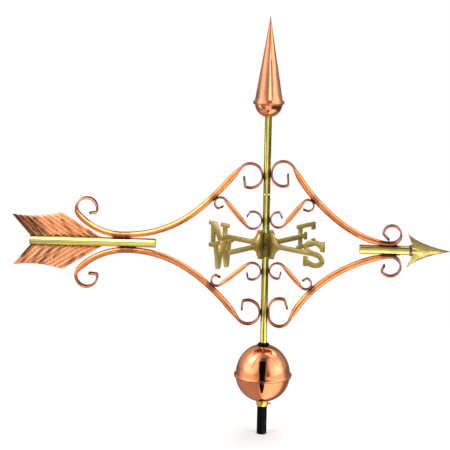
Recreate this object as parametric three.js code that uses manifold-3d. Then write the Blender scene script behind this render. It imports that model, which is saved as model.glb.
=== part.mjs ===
// Weather vane: a copper and brass arrow that turns on a fixed steel spindle, above a copper globe
// and round four compass letters. Millimetres, +Z up, the arrow points along +X.
// The origin is the middle of the flat lower end of the mounting rod.
import * as THREE from "three";
import { mergeVertices } from "three/addons/utils/BufferGeometryUtils.js";
import Module from "manifold-3d";

const wasm = await Module();
wasm.setup();

// Clearances
const seat = 0.3; // between fixed pieces that bear on each other
const running = 0.5; // between the turning frame and the pieces under and over it
const castingGap = 0.8; // between the two compass castings, which are not machined

// Facets
const bigSides = 30;
const tubeSides = 20;
const screwSides = 12;
const arcStep = 24; // degrees of bend for each ring of a bent rod
const longStep = 26; // millimetres of straight or slow bend for each ring

// Mounting rod, spindle and thrust bearing
const rodRadius = 10.4;
const rodChamfer = 0.6;
const rodAboveGlobe = 2.4;
const spindleRadius = 5.5;
const spindleSocketDepth = 45;
const ballRadius = 3.175;
const ballSeatMouth = 3.6; // mouth radius of the 90 degree cone that the ball sits in
const plugHalfLength = 18;

// Globe
const globeHeight = 130; // height of its seam
const globeRadius = 57.6;
const globeRise = 65; // from the seam to the top of the upper half
const globeDrop = 58.5; // from the seam to the bottom of the lower half
const globeWall = 1;

// Rolled seam of the globe and of the finial. Arcs are in degrees.
const seamBeadRadius = 2.1;
const seamBeadArc = { from: 125, to: -135 };
const seamMeeting = { inside: -1, outside: 2.5 }; // where each face of the globe's shell meets the bead
const seamFlangeThickness = 0.9;
const seamReach = 0.7; // share of the bead's radius that the flange reaches past the bead's middle

// Bushing and collar above and below the globe
const bushingRadius = 12.8;
const bushingTopRadius = 9.6;
const bushingSkirt = 1.6;
const bushingRise = 4.6;
const collarTopRadius = 12.85;
const collarFootRadius = 12;
const collarLength = 10.5;
const collarScrewRadius = 2.2;
const collarScrewReach = 18.6;
const collarScrewBearing = -12; // degrees from +X

// Upright tubes of the turning frame
const arrowHeight = 406;
const poleRadius = 7.3;
const poleBoreRadius = 6.1;
const seamAboveArrow = 112;

// Finial
const finialRimAboveArrow = 301.5;
const coneRadius = 28.9;
const coneLength = 175;
const finialWall = 0.9;
const cupRadius = 28.6;
const cupDepth = 28;
const finialTubeInside = 8; // how far the tube stands up inside the cup

// Shafts of the arrow
const shaftRadius = 9.525;
const shaftWall = 1.5;
const tailShaftEnd = 494;
const tailShaftInner = 229;
const headShaftInner = 194;
const headShaftEnd = 303;

// Scrolls: round rods with hammered flat ends. Radii are those of the centre line, angles are degrees.
// The lay is the straight length against the pole, to each side of the middle of the contact.
// A taper thins the rod before it touches the shaft, and again from before to after the start of the eye.
const mainStock = { rod: 12.7, flat: 3.8, sides: 10 };
const innerStock = { rod: 9.5, flat: 3, sides: 8 };
const kinkRadius = 3.5;
const curlFade = { before: 6, after: 30 }; // the rod's run out into the curl's flat, about the curl's end
const tailTaper = { atShaft: mainStock.rod, before: 1, eyeBefore: 10, eyeAfter: 27 };
const headTaper = { atShaft: 7.5, before: 40, eyeBefore: 0, eyeAfter: 32 };
const scrolls = {
  upper_tail: {
    end: -1,
    side: 1,
    taper: tailTaper,
    main: {
      poleHeight: 148,
      lay: 0.5,
      hook: { radius: 25, turn: 109, kink: 63, tip: 19 },
      bend: { leave: 137.5, pull: 90, reach: 301, shaftPull: 130 },
      belly: { radius: 119, turn: 48.5 },
      eye: { radius: 21.8, turn: 239, kink: 67, tip: 12 },
    },
    inner: {
      poleHeight: 54.5,
      hook: { radius: 18.2, turn: 107, kink: 40, tip: 10 },
      station: 0.305,
      eye: { radius: 12.1, turn: 200, kink: 55, tip: 10 },
    },
  },
  lower_tail: {
    end: -1,
    side: -1,
    taper: tailTaper,
    main: {
      poleHeight: 141.5,
      lay: 0.5,
      hook: { radius: 25, turn: 112, kink: 65, tip: 16 },
      bend: { leave: 143, pull: 159, reach: 289, shaftPull: 55 },
      belly: { radius: 142, turn: 45.5 },
      eye: { radius: 22.5, turn: 229, kink: 80, tip: 15 },
    },
    inner: {
      poleHeight: 53.9,
      hook: { radius: 17.9, turn: 112, kink: 58, tip: 10 },
      station: 0.213,
      eye: { radius: 11.6, turn: 203, kink: 44, tip: 9 },
    },
  },
  upper_head: {
    end: 1,
    side: 1,
    taper: headTaper,
    main: {
      poleHeight: 153.5,
      lay: 2,
      hook: { radius: 24, turn: 110, kink: 73, tip: 21 },
      bend: { leave: 151.5, pull: 92, reach: 254, shaftPull: 67 },
      belly: { radius: 100, turn: 5 },
      eye: { radius: 18.6, turn: 256, kink: 54, tip: 16 },
    },
    inner: {
      poleHeight: 56.6,
      hook: { radius: 16.3, turn: 90, kink: 65, tip: 11 },
      station: 0.282,
      eye: { radius: 11.7, turn: 235, kink: 18, tip: 9 },
    },
  },
  lower_head: {
    end: 1,
    side: -1,
    taper: headTaper,
    main: {
      poleHeight: 141,
      lay: 7.5,
      hook: { radius: 22.5, turn: 113, kink: 49, tip: 18 },
      bend: { leave: 155, pull: 120, reach: 258, shaftPull: 32 },
      belly: { radius: 45, turn: 4 },
      eye: { radius: 20.9, turn: 231, kink: 61, tip: 12 },
    },
    inner: {
      poleHeight: 51.8,
      hook: { radius: 16.4, turn: 96, kink: 71, tip: 11 },
      station: 0.241,
      eye: { radius: 11.7, turn: 213, kink: 48, tip: 9 },
    },
  },
};

// Fletching: a pleated sheet on each side of the tail shaft, measured from the end of the shaft
const pleats = 9;
const pleatDepth = 6;
const pleatFlat = 0.15; // share of a pleat that is flat at its crest, and again at its foot
const sheetThickness = 1.6;
const featherInset = 2;
const featherRoot = 151;
const featherRake = 36.5; // the outer trailing corner stands this far behind the end of the shaft
const featherTrailHeight = 54;
const featherLeadReach = 68;
const featherLeadHeight = 61;
const featherSag = 12;

// Arrowhead, measured from the end of the head shaft
const headLength = 77;
const headPointHalfWidth = 0.6;
const barbSweep = 10;
const barbHeight = 36.5;
const leadingEdgeBend = new THREE.Vector2(12, 13);
const headNotch = 4;
const headThickness = 7;
const headEdge = 1.2;
const barbTipThickness = 2.4;
const barbTipFrom = 0.9; // share of the barb's back edge that lies before its blunt tip
const headRidge = { onAxis: 0.06, onBarb: 0.5 }; // shares of the way from the back edge to the front one
const neckLength = 26;
const neckTipRadius = 1.2;
const neckSpigot = 22;
const headRing = { radius: 11.2, width: 5.8, round: 0.8 };

// Compass letters
const hubAboveArrow = 3.8;
const northSouthTurn = -38.5;
const hubRadius = 10.2;
const hubHalfHeight = 24.5;
const webHalfHeight = 28;
const webThickness = 5;
const earInnerRadius = 8.7;
const earOuterRadius = 22;
const earRound = 1.8;
const earBlend = 3; // degrees that the flare's arc stops short of the ear's top
const flareReach = 45;
const armHeight = 9.5;
const armReach = 102.5;
const armIntoLetter = 15;
const letterThickness = 4.4;
const stroke = 10;
const serifDepth = 8;
const serifReach = 6;
const letterSizes = {
  north: { width: 55.5, height: 56 },
  east: { width: 60, height: 52.5 },
  south: { width: 52.5, height: 57 },
  west: { width: 64, height: 57 },
};
const northDiagonal = { left: 0.4, width: 1.4 }; // in strokes
const eastTongue = { reach: 0.53, width: 0.7 }; // share of the letter's width, and strokes
const westValley = 0.3; // share of the letter's width
const southSerif = { width: 9, rise: 20.8, inset: 0.4 };
const hubScrewRadius = 2;
const hubScrewBearing = 90; // degrees from each casting's own arm

// Colours, roughness and metalness of each finish
const finishes = {
  copper: { color: 0xd9824f, roughness: 0.25, metalness: 1 },
  brass: { color: 0xd9c069, roughness: 0.28, metalness: 1 },
  castBrass: { color: 0x9a8440, roughness: 0.5, metalness: 1 },
  steel: { color: 0xa8a9ab, roughness: 0.35, metalness: 1 },
  black: { color: 0x16161a, roughness: 0.45, metalness: 0.3 },
};

const rad = THREE.MathUtils.degToRad;
const degrees = THREE.MathUtils.radToDeg;

function polar(length, angle) {
  return new THREE.Vector2(length * Math.cos(rad(angle)), length * Math.sin(rad(angle)));
}

// Solids

// Turns a profile of [radius, height] pairs round +Z. A profile off the axis is closed on itself.
function revolve(profile, sides) {
  const points = profile.map(([radius, height]) => new THREE.Vector2(radius, height));
  if (points[0].x > 0) points.push(points[0].clone());
  return new THREE.LatheGeometry(points, sides).rotateX(Math.PI / 2);
}

function arcPoints(middleRadius, middleHeight, radius, height, from, to, steps) {
  return Array.from({ length: steps + 1 }, (_, i) => {
    const angle = rad(THREE.MathUtils.lerp(from, to, i / steps));
    return [middleRadius + radius * Math.cos(angle), middleHeight + height * Math.sin(angle)];
  });
}

// Skins a row of rings, each with the same number of points, and closes both ends.
function loft(rings) {
  const sides = rings[0].length;
  const last = (rings.length - 1) * sides;
  const faces = [];
  for (let start = 0; start < last; start += sides) {
    for (let s = 0; s < sides; s++) {
      const a = start + s;
      const b = start + ((s + 1) % sides);
      faces.push(a, b, b + sides, a, b + sides, a + sides);
    }
  }
  for (let s = 1; s + 1 < sides; s++) faces.push(0, s + 1, s, last, last + s, last + s + 1);
  const geometry = new THREE.BufferGeometry().setFromPoints(rings.flat());
  geometry.setIndex(faces);
  return geometry;
}

// Extrudes an outline in X and Z evenly to both sides of the plane Y = 0.
function plate(shape, thickness, curveSegments = 8) {
  const geometry = new THREE.ExtrudeGeometry(shape, { depth: thickness, bevelEnabled: false, curveSegments });
  return geometry.translate(0, 0, -thickness / 2).rotateX(Math.PI / 2);
}

function toSolid(geometry) {
  const plain = geometry.clone();
  plain.deleteAttribute("normal");
  plain.deleteAttribute("uv");
  const merged = mergeVertices(plain);
  return new wasm.Manifold(
    new wasm.Mesh({
      numProp: 3,
      vertProperties: merged.attributes.position.array,
      triVerts: new Uint32Array(merged.index.array),
    }),
  );
}

function toGeometry(solid) {
  const mesh = solid.getMesh();
  const geometry = new THREE.BufferGeometry();
  geometry.setAttribute("position", new THREE.BufferAttribute(mesh.vertProperties, 3));
  geometry.setIndex(new THREE.BufferAttribute(mesh.triVerts, 1));
  return geometry;
}

function join(...geometries) {
  return toGeometry(geometries.map(toSolid).reduce((sum, next) => sum.add(next)));
}

function cut(geometry, ...tools) {
  return toGeometry(tools.map(toSolid).reduce((rest, tool) => rest.subtract(tool), toSolid(geometry)));
}

function tube(outer, inner, from, to, sides = tubeSides) {
  return revolve([[inner, from], [outer, from], [outer, to], [inner, to]], sides);
}

function rod(radius, from, to, sides = tubeSides) {
  return revolve([[0, from], [radius, from], [radius, to], [0, to]], sides);
}

// Lays a solid that was made along +Z down along +X.
function alongX(geometry) {
  return geometry.rotateY(Math.PI / 2);
}

// Mast: mounting rod, globe, collar, bushing, spindle and ball

const rodBoreRadius = rodRadius + seat;
const spindleBoreRadius = spindleRadius + seat;
const holeShare = Math.sqrt(1 - (rodBoreRadius / globeRadius) ** 2); // of the rise, at the edge of a hole
const collarTop = globeHeight - globeDrop * holeShare - seat;
const bushingFoot = globeHeight + globeRise * holeShare + seat;
const rodTop = bushingFoot + rodAboveGlobe - seat;
const bushingTop = bushingFoot + bushingRise;
const hubHeight = arrowHeight + hubAboveArrow;
const plugFoot = arrowHeight + seamAboveArrow - plugHalfLength;
const ballDrop = (ballRadius + seat) * Math.SQRT2 - ballSeatMouth; // ball's middle to the face of either seat
const spindleTop = plugFoot - 2 * ballDrop;

function mountingRod() {
  const body = revolve([
    [0, 0],
    [rodRadius - rodChamfer, 0],
    [rodRadius, rodChamfer],
    [rodRadius, rodTop - rodChamfer],
    [rodRadius - rodChamfer, rodTop],
    [0, rodTop],
  ], tubeSides);
  return cut(body, rod(spindleBoreRadius, rodTop - spindleSocketDepth, rodTop + seat));
}

function spindle() {
  const foot = rodTop - spindleSocketDepth + seat;
  return revolve([
    [0, foot],
    [spindleRadius, foot],
    [spindleRadius, spindleTop],
    [ballSeatMouth, spindleTop],
    [0, spindleTop - ballSeatMouth],
  ], tubeSides);
}

function thrustBall() {
  const arc = arcPoints(0, 0, ballRadius, ballRadius, -90, 90, 10);
  arc[0][0] = 0;
  arc.at(-1)[0] = 0;
  return revolve(arc, screwSides);
}

// The upper shell of a seamed pair ends in a rolled bead, whose middle is at height 0.
function rolledBead(shellRadius, wall) {
  const middle = shellRadius + seamBeadRadius - wall / 2;
  return arcPoints(middle, 0, seamBeadRadius, seamBeadRadius, seamBeadArc.from, seamBeadArc.to, 6);
}

// The lower shell ends in a flange that lies under the bead.
function seamFlange(shellRadius, wall) {
  const top = -seamBeadRadius - seat;
  const reach = shellRadius + seamBeadRadius - wall / 2 + seamBeadRadius * seamReach;
  return {
    top,
    foot: top - seamFlangeThickness,
    reach,
  };
}

// The angles are those of the ellipse, so that a height is the sine's share of the rise.
function globeUpper() {
  const inside = globeRadius - globeWall;
  const insideRise = globeRise - globeWall;
  const from = degrees(Math.acos(rodBoreRadius / globeRadius));
  const insideFrom = degrees(Math.acos(rodBoreRadius / inside));
  return revolve([
    ...arcPoints(0, 0, inside, insideRise, seamMeeting.inside, insideFrom, 8),
    ...arcPoints(0, 0, globeRadius, globeRise, from, seamMeeting.outside, 9),
    ...rolledBead(globeRadius, globeWall),
  ].reverse(), bigSides);
}

function globeLower() {
  const inside = globeRadius - globeWall;
  const insideDrop = globeDrop - globeWall;
  const flange = seamFlange(globeRadius, globeWall);
  const from = degrees(Math.asin(flange.top / insideDrop));
  const outsideFrom = degrees(Math.asin(flange.foot / globeDrop));
  const to = -degrees(Math.acos(rodBoreRadius / globeRadius));
  const insideTo = -degrees(Math.acos(rodBoreRadius / inside));
  return revolve([
    ...arcPoints(0, 0, inside, insideDrop, insideTo, from, 8),
    [flange.reach, flange.top],
    [flange.reach, flange.foot],
    ...arcPoints(0, 0, globeRadius, globeDrop, outsideFrom, to, 8),
  ].reverse(), bigSides);
}

function globeBushing() {
  return revolve([
    [rodBoreRadius, bushingFoot],
    [bushingRadius, bushingFoot],
    [bushingRadius, bushingFoot + bushingSkirt],
    [bushingTopRadius, bushingTop],
    [spindleBoreRadius, bushingTop],
    [spindleBoreRadius, bushingFoot + rodAboveGlobe],
    [rodBoreRadius, bushingFoot + rodAboveGlobe],
  ], tubeSides);
}

function radialHole(radius, inner, outer) {
  return alongX(rod(radius + seat, inner, outer, screwSides));
}

function globeCollar() {
  const ring = revolve([
    [rodBoreRadius, collarTop - collarLength],
    [collarFootRadius, collarTop - collarLength],
    [collarTopRadius, collarTop - collarLength / 2],
    [collarTopRadius, collarTop],
    [rodBoreRadius, collarTop],
  ], tubeSides);
  const hole = radialHole(collarScrewRadius, rodRadius / 2, collarTopRadius * 2);
  hole.translate(0, 0, collarTop - collarLength / 2).rotateZ(rad(collarScrewBearing));
  return cut(ring, hole);
}

function collarScrew() {
  return alongX(rod(collarScrewRadius, rodRadius + seat, collarScrewReach, screwSides));
}

// Compass castings

// The web and arm on one side of the hub. It is cut back from the other casting's half of the collar.
function webShape() {
  const inner = (spindleBoreRadius + hubRadius) / 2;
  const cutBack = hubRadius + castingGap;
  const halfArm = armHeight / 2;
  const rise = webHalfHeight - halfArm;
  const flare = ((flareReach - earOuterRadius) ** 2 + rise ** 2) / (2 * rise);
  const startAngle = Math.PI + Math.asin((halfArm + flare - webHalfHeight) / flare);
  const shape = new THREE.Shape();
  shape.moveTo(inner, castingGap / 2);
  shape.lineTo(inner, hubHalfHeight);
  shape.lineTo(earInnerRadius, hubHalfHeight);
  shape.lineTo(earInnerRadius, webHalfHeight);
  shape.lineTo(earOuterRadius - earRound, webHalfHeight);
  shape.lineTo(earOuterRadius, webHalfHeight - earRound / 2);
  shape.absarc(flareReach, halfArm + flare, flare, startAngle + rad(earBlend), Math.PI * 1.5, false);
  shape.lineTo(armReach + armIntoLetter, halfArm);
  shape.lineTo(armReach + armIntoLetter, -halfArm);
  const endAngle = 2 * Math.PI - startAngle - rad(earBlend);
  shape.absarc(flareReach, -halfArm - flare, flare, Math.PI / 2, endAngle, false);
  shape.lineTo(earOuterRadius, -webHalfHeight + earRound / 2);
  shape.lineTo(earOuterRadius - earRound, -webHalfHeight);
  shape.lineTo(cutBack, -webHalfHeight);
  shape.lineTo(cutBack, castingGap / 2);
  return shape;
}

// A straight stroke with level ends, as tall as the letter. It starts at footX and ends at headX.
function leaning(footX, headX, width, height) {
  return new THREE.Shape([
    new THREE.Vector2(footX, -height / 2),
    new THREE.Vector2(footX + width, -height / 2),
    new THREE.Vector2(headX + width, height / 2),
    new THREE.Vector2(headX, height / 2),
  ]);
}

function bar(x0, z0, x1, z1) {
  return new THREE.Shape([
    new THREE.Vector2(x0, z0),
    new THREE.Vector2(x1, z0),
    new THREE.Vector2(x1, z1),
    new THREE.Vector2(x0, z1),
  ]);
}

function topBar(x0, x1, height) {
  return bar(x0, height / 2 - serifDepth, x1, height / 2);
}

function footBar(x0, x1, height) {
  return bar(x0, -height / 2, x1, serifDepth - height / 2);
}

// Each letter's strokes, from X = 0 to its width, centred on Z = 0.
function northStrokes({ width, height }) {
  const right = width - serifReach - stroke;
  return [
    leaning(serifReach, serifReach, stroke, height),
    leaning(right, right, stroke, height),
    leaning(right - stroke * northDiagonal.left, serifReach, stroke * northDiagonal.width, height),
    topBar(0, serifReach + stroke, height),
    footBar(0, 2 * serifReach + stroke, height),
    topBar(right - serifReach, width, height),
  ];
}

function eastStrokes({ width, height }) {
  const half = height / 2;
  const middle = width * eastTongue.reach;
  return [
    leaning(serifReach, serifReach, stroke, height),
    topBar(0, width, height),
    footBar(0, width, height),
    bar(width - stroke, half - 2 * serifDepth, width, half),
    bar(width - stroke, -half, width, 2 * serifDepth - half),
    bar(serifReach, -serifDepth / 2, middle, serifDepth / 2),
    bar(middle - stroke * eastTongue.width, -serifDepth, middle, serifDepth),
  ];
}

function westStrokes({ width, height }) {
  const valley = width * westValley;
  const half = stroke / 2;
  const middle = width / 2 - half;
  return [
    leaning(valley - half, serifReach, stroke, height),
    leaning(valley - half, middle, stroke, height),
    leaning(width - valley - half, middle, stroke, height),
    leaning(width - valley - half, width - serifReach - stroke, stroke, height),
    topBar(0, 2 * serifReach + stroke, height),
    topBar(width - 2 * serifReach - stroke, width, height),
  ];
}

function southStrokes({ width, height }) {
  const half = height / 2;
  const reach = (width - stroke) / 2;
  const bowl = (half - stroke / 2) / 2;
  const terminal = 15; // degrees that each end of the letter's line stops short of level
  const upper = new THREE.EllipseCurve(width / 2, bowl, reach, bowl, rad(terminal), rad(270), false);
  const lower = new THREE.EllipseCurve(width / 2, -bowl, reach, bowl, rad(90), rad(terminal - 180), true);
  return [
    ribbon([...upper.getPoints(14), ...lower.getPoints(14).slice(1)], stroke),
    bar(width - southSerif.width, half - southSerif.rise, width, half - southSerif.inset),
    bar(0, southSerif.inset - half, southSerif.width, southSerif.rise - half),
  ];
}

// A stroke of even width along a row of points.
function ribbon(points, width) {
  const left = [];
  const right = [];
  points.forEach((point, i) => {
    const before = points[Math.max(i - 1, 0)];
    const after = points[Math.min(i + 1, points.length - 1)];
    const across = after.clone().sub(before).normalize().multiplyScalar(width / 2);
    left.push(new THREE.Vector2(point.x - across.y, point.y + across.x));
    right.unshift(new THREE.Vector2(point.x + across.y, point.y - across.x));
  });
  return new THREE.Shape([...left, ...right]);
}

// One compass casting: half of the hub's collar, two webs with their arms, and a letter at each end.
// The letters read from the side of -Y. The left one is at -X.
function compassCasting(leftStrokes, leftWidth, rightStrokes, collarSide) {
  const collar = tube(hubRadius, spindleBoreRadius, castingGap / 2, hubHalfHeight);
  const web = plate(webShape(), webThickness, 8);
  const otherWeb = web.clone().rotateZ(Math.PI);
  const parts = [collar, web, otherWeb];
  if (collarSide < 0) parts.forEach((part) => part.rotateX(Math.PI));
  const left = leftStrokes.map((shape) => {
    return plate(shape, letterThickness).translate(-armReach - leftWidth, 0, 0);
  });
  const right = rightStrokes.map((shape) => plate(shape, letterThickness).translate(armReach, 0, 0));
  const hole = radialHole(hubScrewRadius, spindleRadius / 2, hubRadius * 2);
  hole.translate(0, 0, (collarSide * hubHalfHeight) / 2).rotateZ(rad(hubScrewBearing));
  return cut(join(...parts, ...left, ...right), hole);
}

function hubScrew() {
  return alongX(rod(hubScrewRadius, spindleRadius + seat, hubRadius - seat, screwSides));
}

// Turning frame: upright tubes, plug, finial

const finialTubeTop = finialRimAboveArrow + finialTubeInside - cupDepth;

function pivotPlug() {
  const radius = poleBoreRadius - seat;
  return revolve([
    [0, seamAboveArrow - plugHalfLength + ballSeatMouth],
    [ballSeatMouth, seamAboveArrow - plugHalfLength],
    [radius, seamAboveArrow - plugHalfLength],
    [radius, seamAboveArrow + plugHalfLength],
    [0, seamAboveArrow + plugHalfLength],
  ], tubeSides);
}

function poleTube(from, to) {
  return tube(poleRadius, poleBoreRadius, from, to);
}

// Its origin is the middle of the rolled rim.
function finialCone() {
  const apexDrop = (finialWall * Math.hypot(coneRadius, coneLength)) / coneRadius;
  return revolve([
    [0, coneLength - apexDrop],
    [coneRadius - finialWall, -seamBeadRadius * seamReach],
    ...rolledBead(coneRadius, finialWall).reverse(),
    [coneRadius, seamBeadRadius],
    [0, coneLength],
  ], bigSides);
}

function finialCup() {
  const flange = seamFlange(coneRadius, finialWall);
  const hole = poleRadius + seat;
  const outerEnd = -degrees(Math.acos(hole / cupRadius));
  const innerRadius = cupRadius - finialWall;
  const innerEnd = -degrees(Math.acos(hole / innerRadius));
  return revolve([
    ...arcPoints(0, flange.foot, cupRadius, cupDepth, outerEnd, 0, 6),
    [flange.reach, flange.foot],
    [flange.reach, flange.top],
    [innerRadius, flange.top],
    ...arcPoints(0, flange.foot, innerRadius, cupDepth - finialWall, 0, innerEnd, 6),
  ], bigSides);
}

// Arrow: shafts, fletching, arrowhead

function shaftTube(length) {
  return alongX(tube(shaftRadius, shaftRadius - shaftWall, 0, length));
}

// One feather above the tail shaft. Its origin is the end of the shaft, on the shaft's axis.
function feather() {
  const rootFrom = new THREE.Vector2(featherInset, shaftRadius + seat);
  const rootTo = new THREE.Vector2(featherRoot, shaftRadius + seat);
  const outerFrom = new THREE.Vector2(-featherRake, featherTrailHeight);
  const outerTo = new THREE.Vector2(featherLeadReach, featherLeadHeight);
  const middle = outerFrom.clone().lerp(outerTo, 0.5);
  middle.y -= featherSag;
  const root = new THREE.LineCurve(rootFrom, rootTo);
  const outer = new THREE.QuadraticBezierCurve(outerFrom, middle, outerTo);
  const half = pleatDepth / 2;
  const folds = [
    [0, -half],
    [0.5 - pleatFlat, half],
    [0.5, half],
    [1 - pleatFlat, -half],
  ];
  const columns = [];
  for (let k = 0; k <= pleats * folds.length; k++) {
    const [share, y] = folds[k % folds.length];
    const along = (Math.floor(k / folds.length) + share) / pleats;
    const inner = root.getPoint(along);
    const edge = outer.getPoint(along);
    columns.push([
      new THREE.Vector3(inner.x, y + sheetThickness / 2, inner.y),
      new THREE.Vector3(edge.x, y + sheetThickness / 2, edge.y),
      new THREE.Vector3(edge.x, y - sheetThickness / 2, edge.y),
      new THREE.Vector3(inner.x, y - sheetThickness / 2, inner.y),
    ]);
  }
  return loft(columns);
}

// The upper half of the arrowhead's blade, from the point along the axis to the notch, and on out to the
// barb. A ridge runs along the axis and out along the middle of the barb, and both edges are thin.
function bladeHalf() {
  const point = new THREE.Vector2(headLength, headPointHalfWidth);
  const barb = new THREE.Vector2(-barbSweep, barbHeight);
  const front = new THREE.QuadraticBezierCurve(point, leadingEdgeBend, barb);
  const notch = new THREE.Vector2(headNotch, 0);
  const axisSteps = 5;
  const barbSteps = 5;
  const rings = [];
  for (let k = 0; k <= axisSteps + barbSteps; k++) {
    const onAxis = Math.min(1, k / axisSteps);
    const onBarb = Math.max(0, (k - axisSteps) / barbSteps);
    const edge = front.getPoint(k / (axisSteps + barbSteps));
    const back = new THREE.Vector2(headLength, 0).lerp(notch, onAxis).lerp(barb, onBarb * barbTipFrom);
    const ridge = back.clone().lerp(edge, THREE.MathUtils.lerp(headRidge.onAxis, headRidge.onBarb, onBarb));
    const swell = THREE.MathUtils.lerp(headEdge, headThickness, Math.sin((onAxis * Math.PI) / 2));
    const half = THREE.MathUtils.lerp(swell, barbTipThickness, onBarb) / 2;
    const backHalf = onBarb > 0 ? headEdge / 2 : half;
    rings.push([
      new THREE.Vector3(back.x, -backHalf, back.y),
      new THREE.Vector3(ridge.x, -half, ridge.y),
      new THREE.Vector3(edge.x, -headEdge / 2, edge.y),
      new THREE.Vector3(edge.x, headEdge / 2, edge.y),
      new THREE.Vector3(ridge.x, half, ridge.y),
      new THREE.Vector3(back.x, backHalf, back.y),
    ]);
  }
  return loft(rings);
}

function arrowhead() {
  const upper = bladeHalf();
  const lower = bladeHalf().rotateX(Math.PI);
  const spigotRadius = shaftRadius - shaftWall - seat;
  const neck = revolve([
    [0, -neckSpigot],
    [spigotRadius, -neckSpigot],
    [spigotRadius, seat],
    [neckTipRadius, neckLength],
    [0, neckLength],
  ], tubeSides);
  return join(upper, lower, alongX(neck));
}

function arrowheadRing() {
  const { radius, width, round } = headRing;
  const bore = shaftRadius + seat;
  const ring = revolve([
    [bore, 0],
    [radius - round, 0],
    [radius, round],
    [radius, width - round],
    [radius - round, width],
    [bore, width],
  ], tubeSides);
  return alongX(ring);
}

// Scrolls

// A pen that draws the centre line of a bent rod: x away from the pole, y up from the arrow's axis.
class Pen {
  constructor(place, heading) {
    this.place = place;
    this.heading = heading;
    this.curves = [];
  }

  forward(length) {
    const end = this.place.clone().add(polar(length, this.heading));
    this.curves.push(new THREE.LineCurve(this.place, end));
    this.place = end;
    return this;
  }

  // Turns to the left where the angle is positive.
  turn(radius, angle) {
    const side = Math.sign(angle) * 90;
    const middle = this.place.clone().add(polar(radius, this.heading + side));
    const from = this.heading - side;
    const start = rad(from);
    const end = rad(from + angle);
    this.curves.push(new THREE.EllipseCurve(middle.x, middle.y, radius, radius, start, end, angle < 0));
    this.place = middle.add(polar(radius, from + angle));
    this.heading += angle;
    return this;
  }

  bendTo(end, heading, pullFrom, pullTo) {
    const from = this.place.clone().add(polar(pullFrom, this.heading));
    const to = end.clone().sub(polar(pullTo, heading));
    this.curves.push(new THREE.CubicBezierCurve(this.place, from, to, end));
    this.place = end;
    this.heading = heading;
    return this;
  }

  get length() {
    return this.curves.reduce((sum, curve) => sum + curve.getLength(), 0);
  }

  points() {
    const row = [this.curves[0].getPoint(0)];
    for (const curve of this.curves) {
      const sweep = curve.isEllipseCurve ? Math.abs(curve.aEndAngle - curve.aStartAngle) : 0;
      const steps = Math.max(Math.ceil(sweep / rad(arcStep)), Math.ceil(curve.getLength() / longStep));
      row.push(...curve.getSpacedPoints(steps).slice(1));
    }
    return row;
  }
}

// The rod's thickness at a distance along it, eased from each mark to the next.
function thicknessAt(marks, distance) {
  return marks.reduce((size, mark, i) => {
    if (i === 0) return mark.size;
    const share = THREE.MathUtils.smoothstep(distance, marks[i - 1].at, mark.at);
    return THREE.MathUtils.lerp(size, mark.size, share);
  }, 0);
}

// A section of a round rod that is hammered to a thickness: its outline keeps its length.
function rodSection(stock, thickness) {
  const width = thickness + ((stock.rod - thickness) * Math.PI) / 2;
  return Array.from({ length: stock.sides }, (_, i) => {
    const angle = ((i + 0.5) * 2 * Math.PI) / stock.sides;
    const across = (Math.sign(Math.cos(angle)) * (width - thickness) + thickness * Math.cos(angle)) / 2;
    return new THREE.Vector2(across, (thickness * Math.sin(angle)) / 2);
  });
}

// Two pens leave the spot where the rod touches the pole: one to the hook, one to the eye. The end sign is
// 1 towards the arrowhead and -1 towards the tail; the side sign is 1 above the arrow and -1 below it.
function bentRod(stock, pens, marks, end, side) {
  const hookPoints = pens.hook.points().slice(1).reverse();
  const places = [...hookPoints, ...pens.eye.points()].map((p) => new THREE.Vector2(p.x * end, p.y * side));
  let distance = -pens.hook.length;
  const rings = places.map((place, i) => {
    const before = places[Math.max(i - 1, 0)];
    const after = places[Math.min(i + 1, places.length - 1)];
    const arriving = place.clone().sub(before).normalize();
    const leaving = after.clone().sub(place).normalize();
    const along = arriving.add(leaving).normalize();
    distance += place.distanceTo(before);
    return rodSection(stock, thicknessAt(marks, distance)).map((point) => {
      return new THREE.Vector3(place.x - along.y * point.y, point.x, place.y + along.x * point.y);
    });
  });
  return loft(rings);
}

function poleContact(stock, height) {
  return new THREE.Vector2(poleRadius + seat + stock.flat / 2, height);
}

function mainPens({ main, taper }) {
  const { hook, bend, belly, eye } = main;
  const contact = poleContact(mainStock, main.poleHeight);
  const shaftTouch = new THREE.Vector2(bend.reach, shaftRadius + seat + taper.atShaft / 2);
  return {
    hook: new Pen(contact, -90)
      .forward(main.lay)
      .turn(hook.radius, hook.turn)
      .turn(kinkRadius, hook.kink)
      .forward(hook.tip),
    eye: new Pen(contact, 90)
      .forward(main.lay)
      .turn(hook.radius, -bend.leave)
      .bendTo(shaftTouch, 0, bend.pull, bend.shaftPull)
      .turn(belly.radius, belly.turn)
      .turn(eye.radius, eye.turn)
      .turn(kinkRadius, eye.kink)
      .forward(eye.tip),
  };
}

function mainScroll(scroll) {
  const pens = mainPens(scroll);
  const { taper } = scroll;
  const [lay, arc, bend, belly] = pens.eye.curves.map((curve) => curve.getLength());
  const curl = lay + arc;
  const touch = curl + bend;
  const eye = touch + belly;
  const marks = [
    { at: curl - curlFade.before, size: mainStock.flat },
    { at: curl + curlFade.after, size: mainStock.rod },
    { at: touch - taper.before, size: mainStock.rod },
    { at: touch, size: taper.atShaft },
    { at: eye - taper.eyeBefore, size: taper.atShaft },
    { at: eye + taper.eyeAfter, size: mainStock.flat },
  ];
  return bentRod(mainStock, pens, marks, scroll.end, scroll.side);
}

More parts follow.
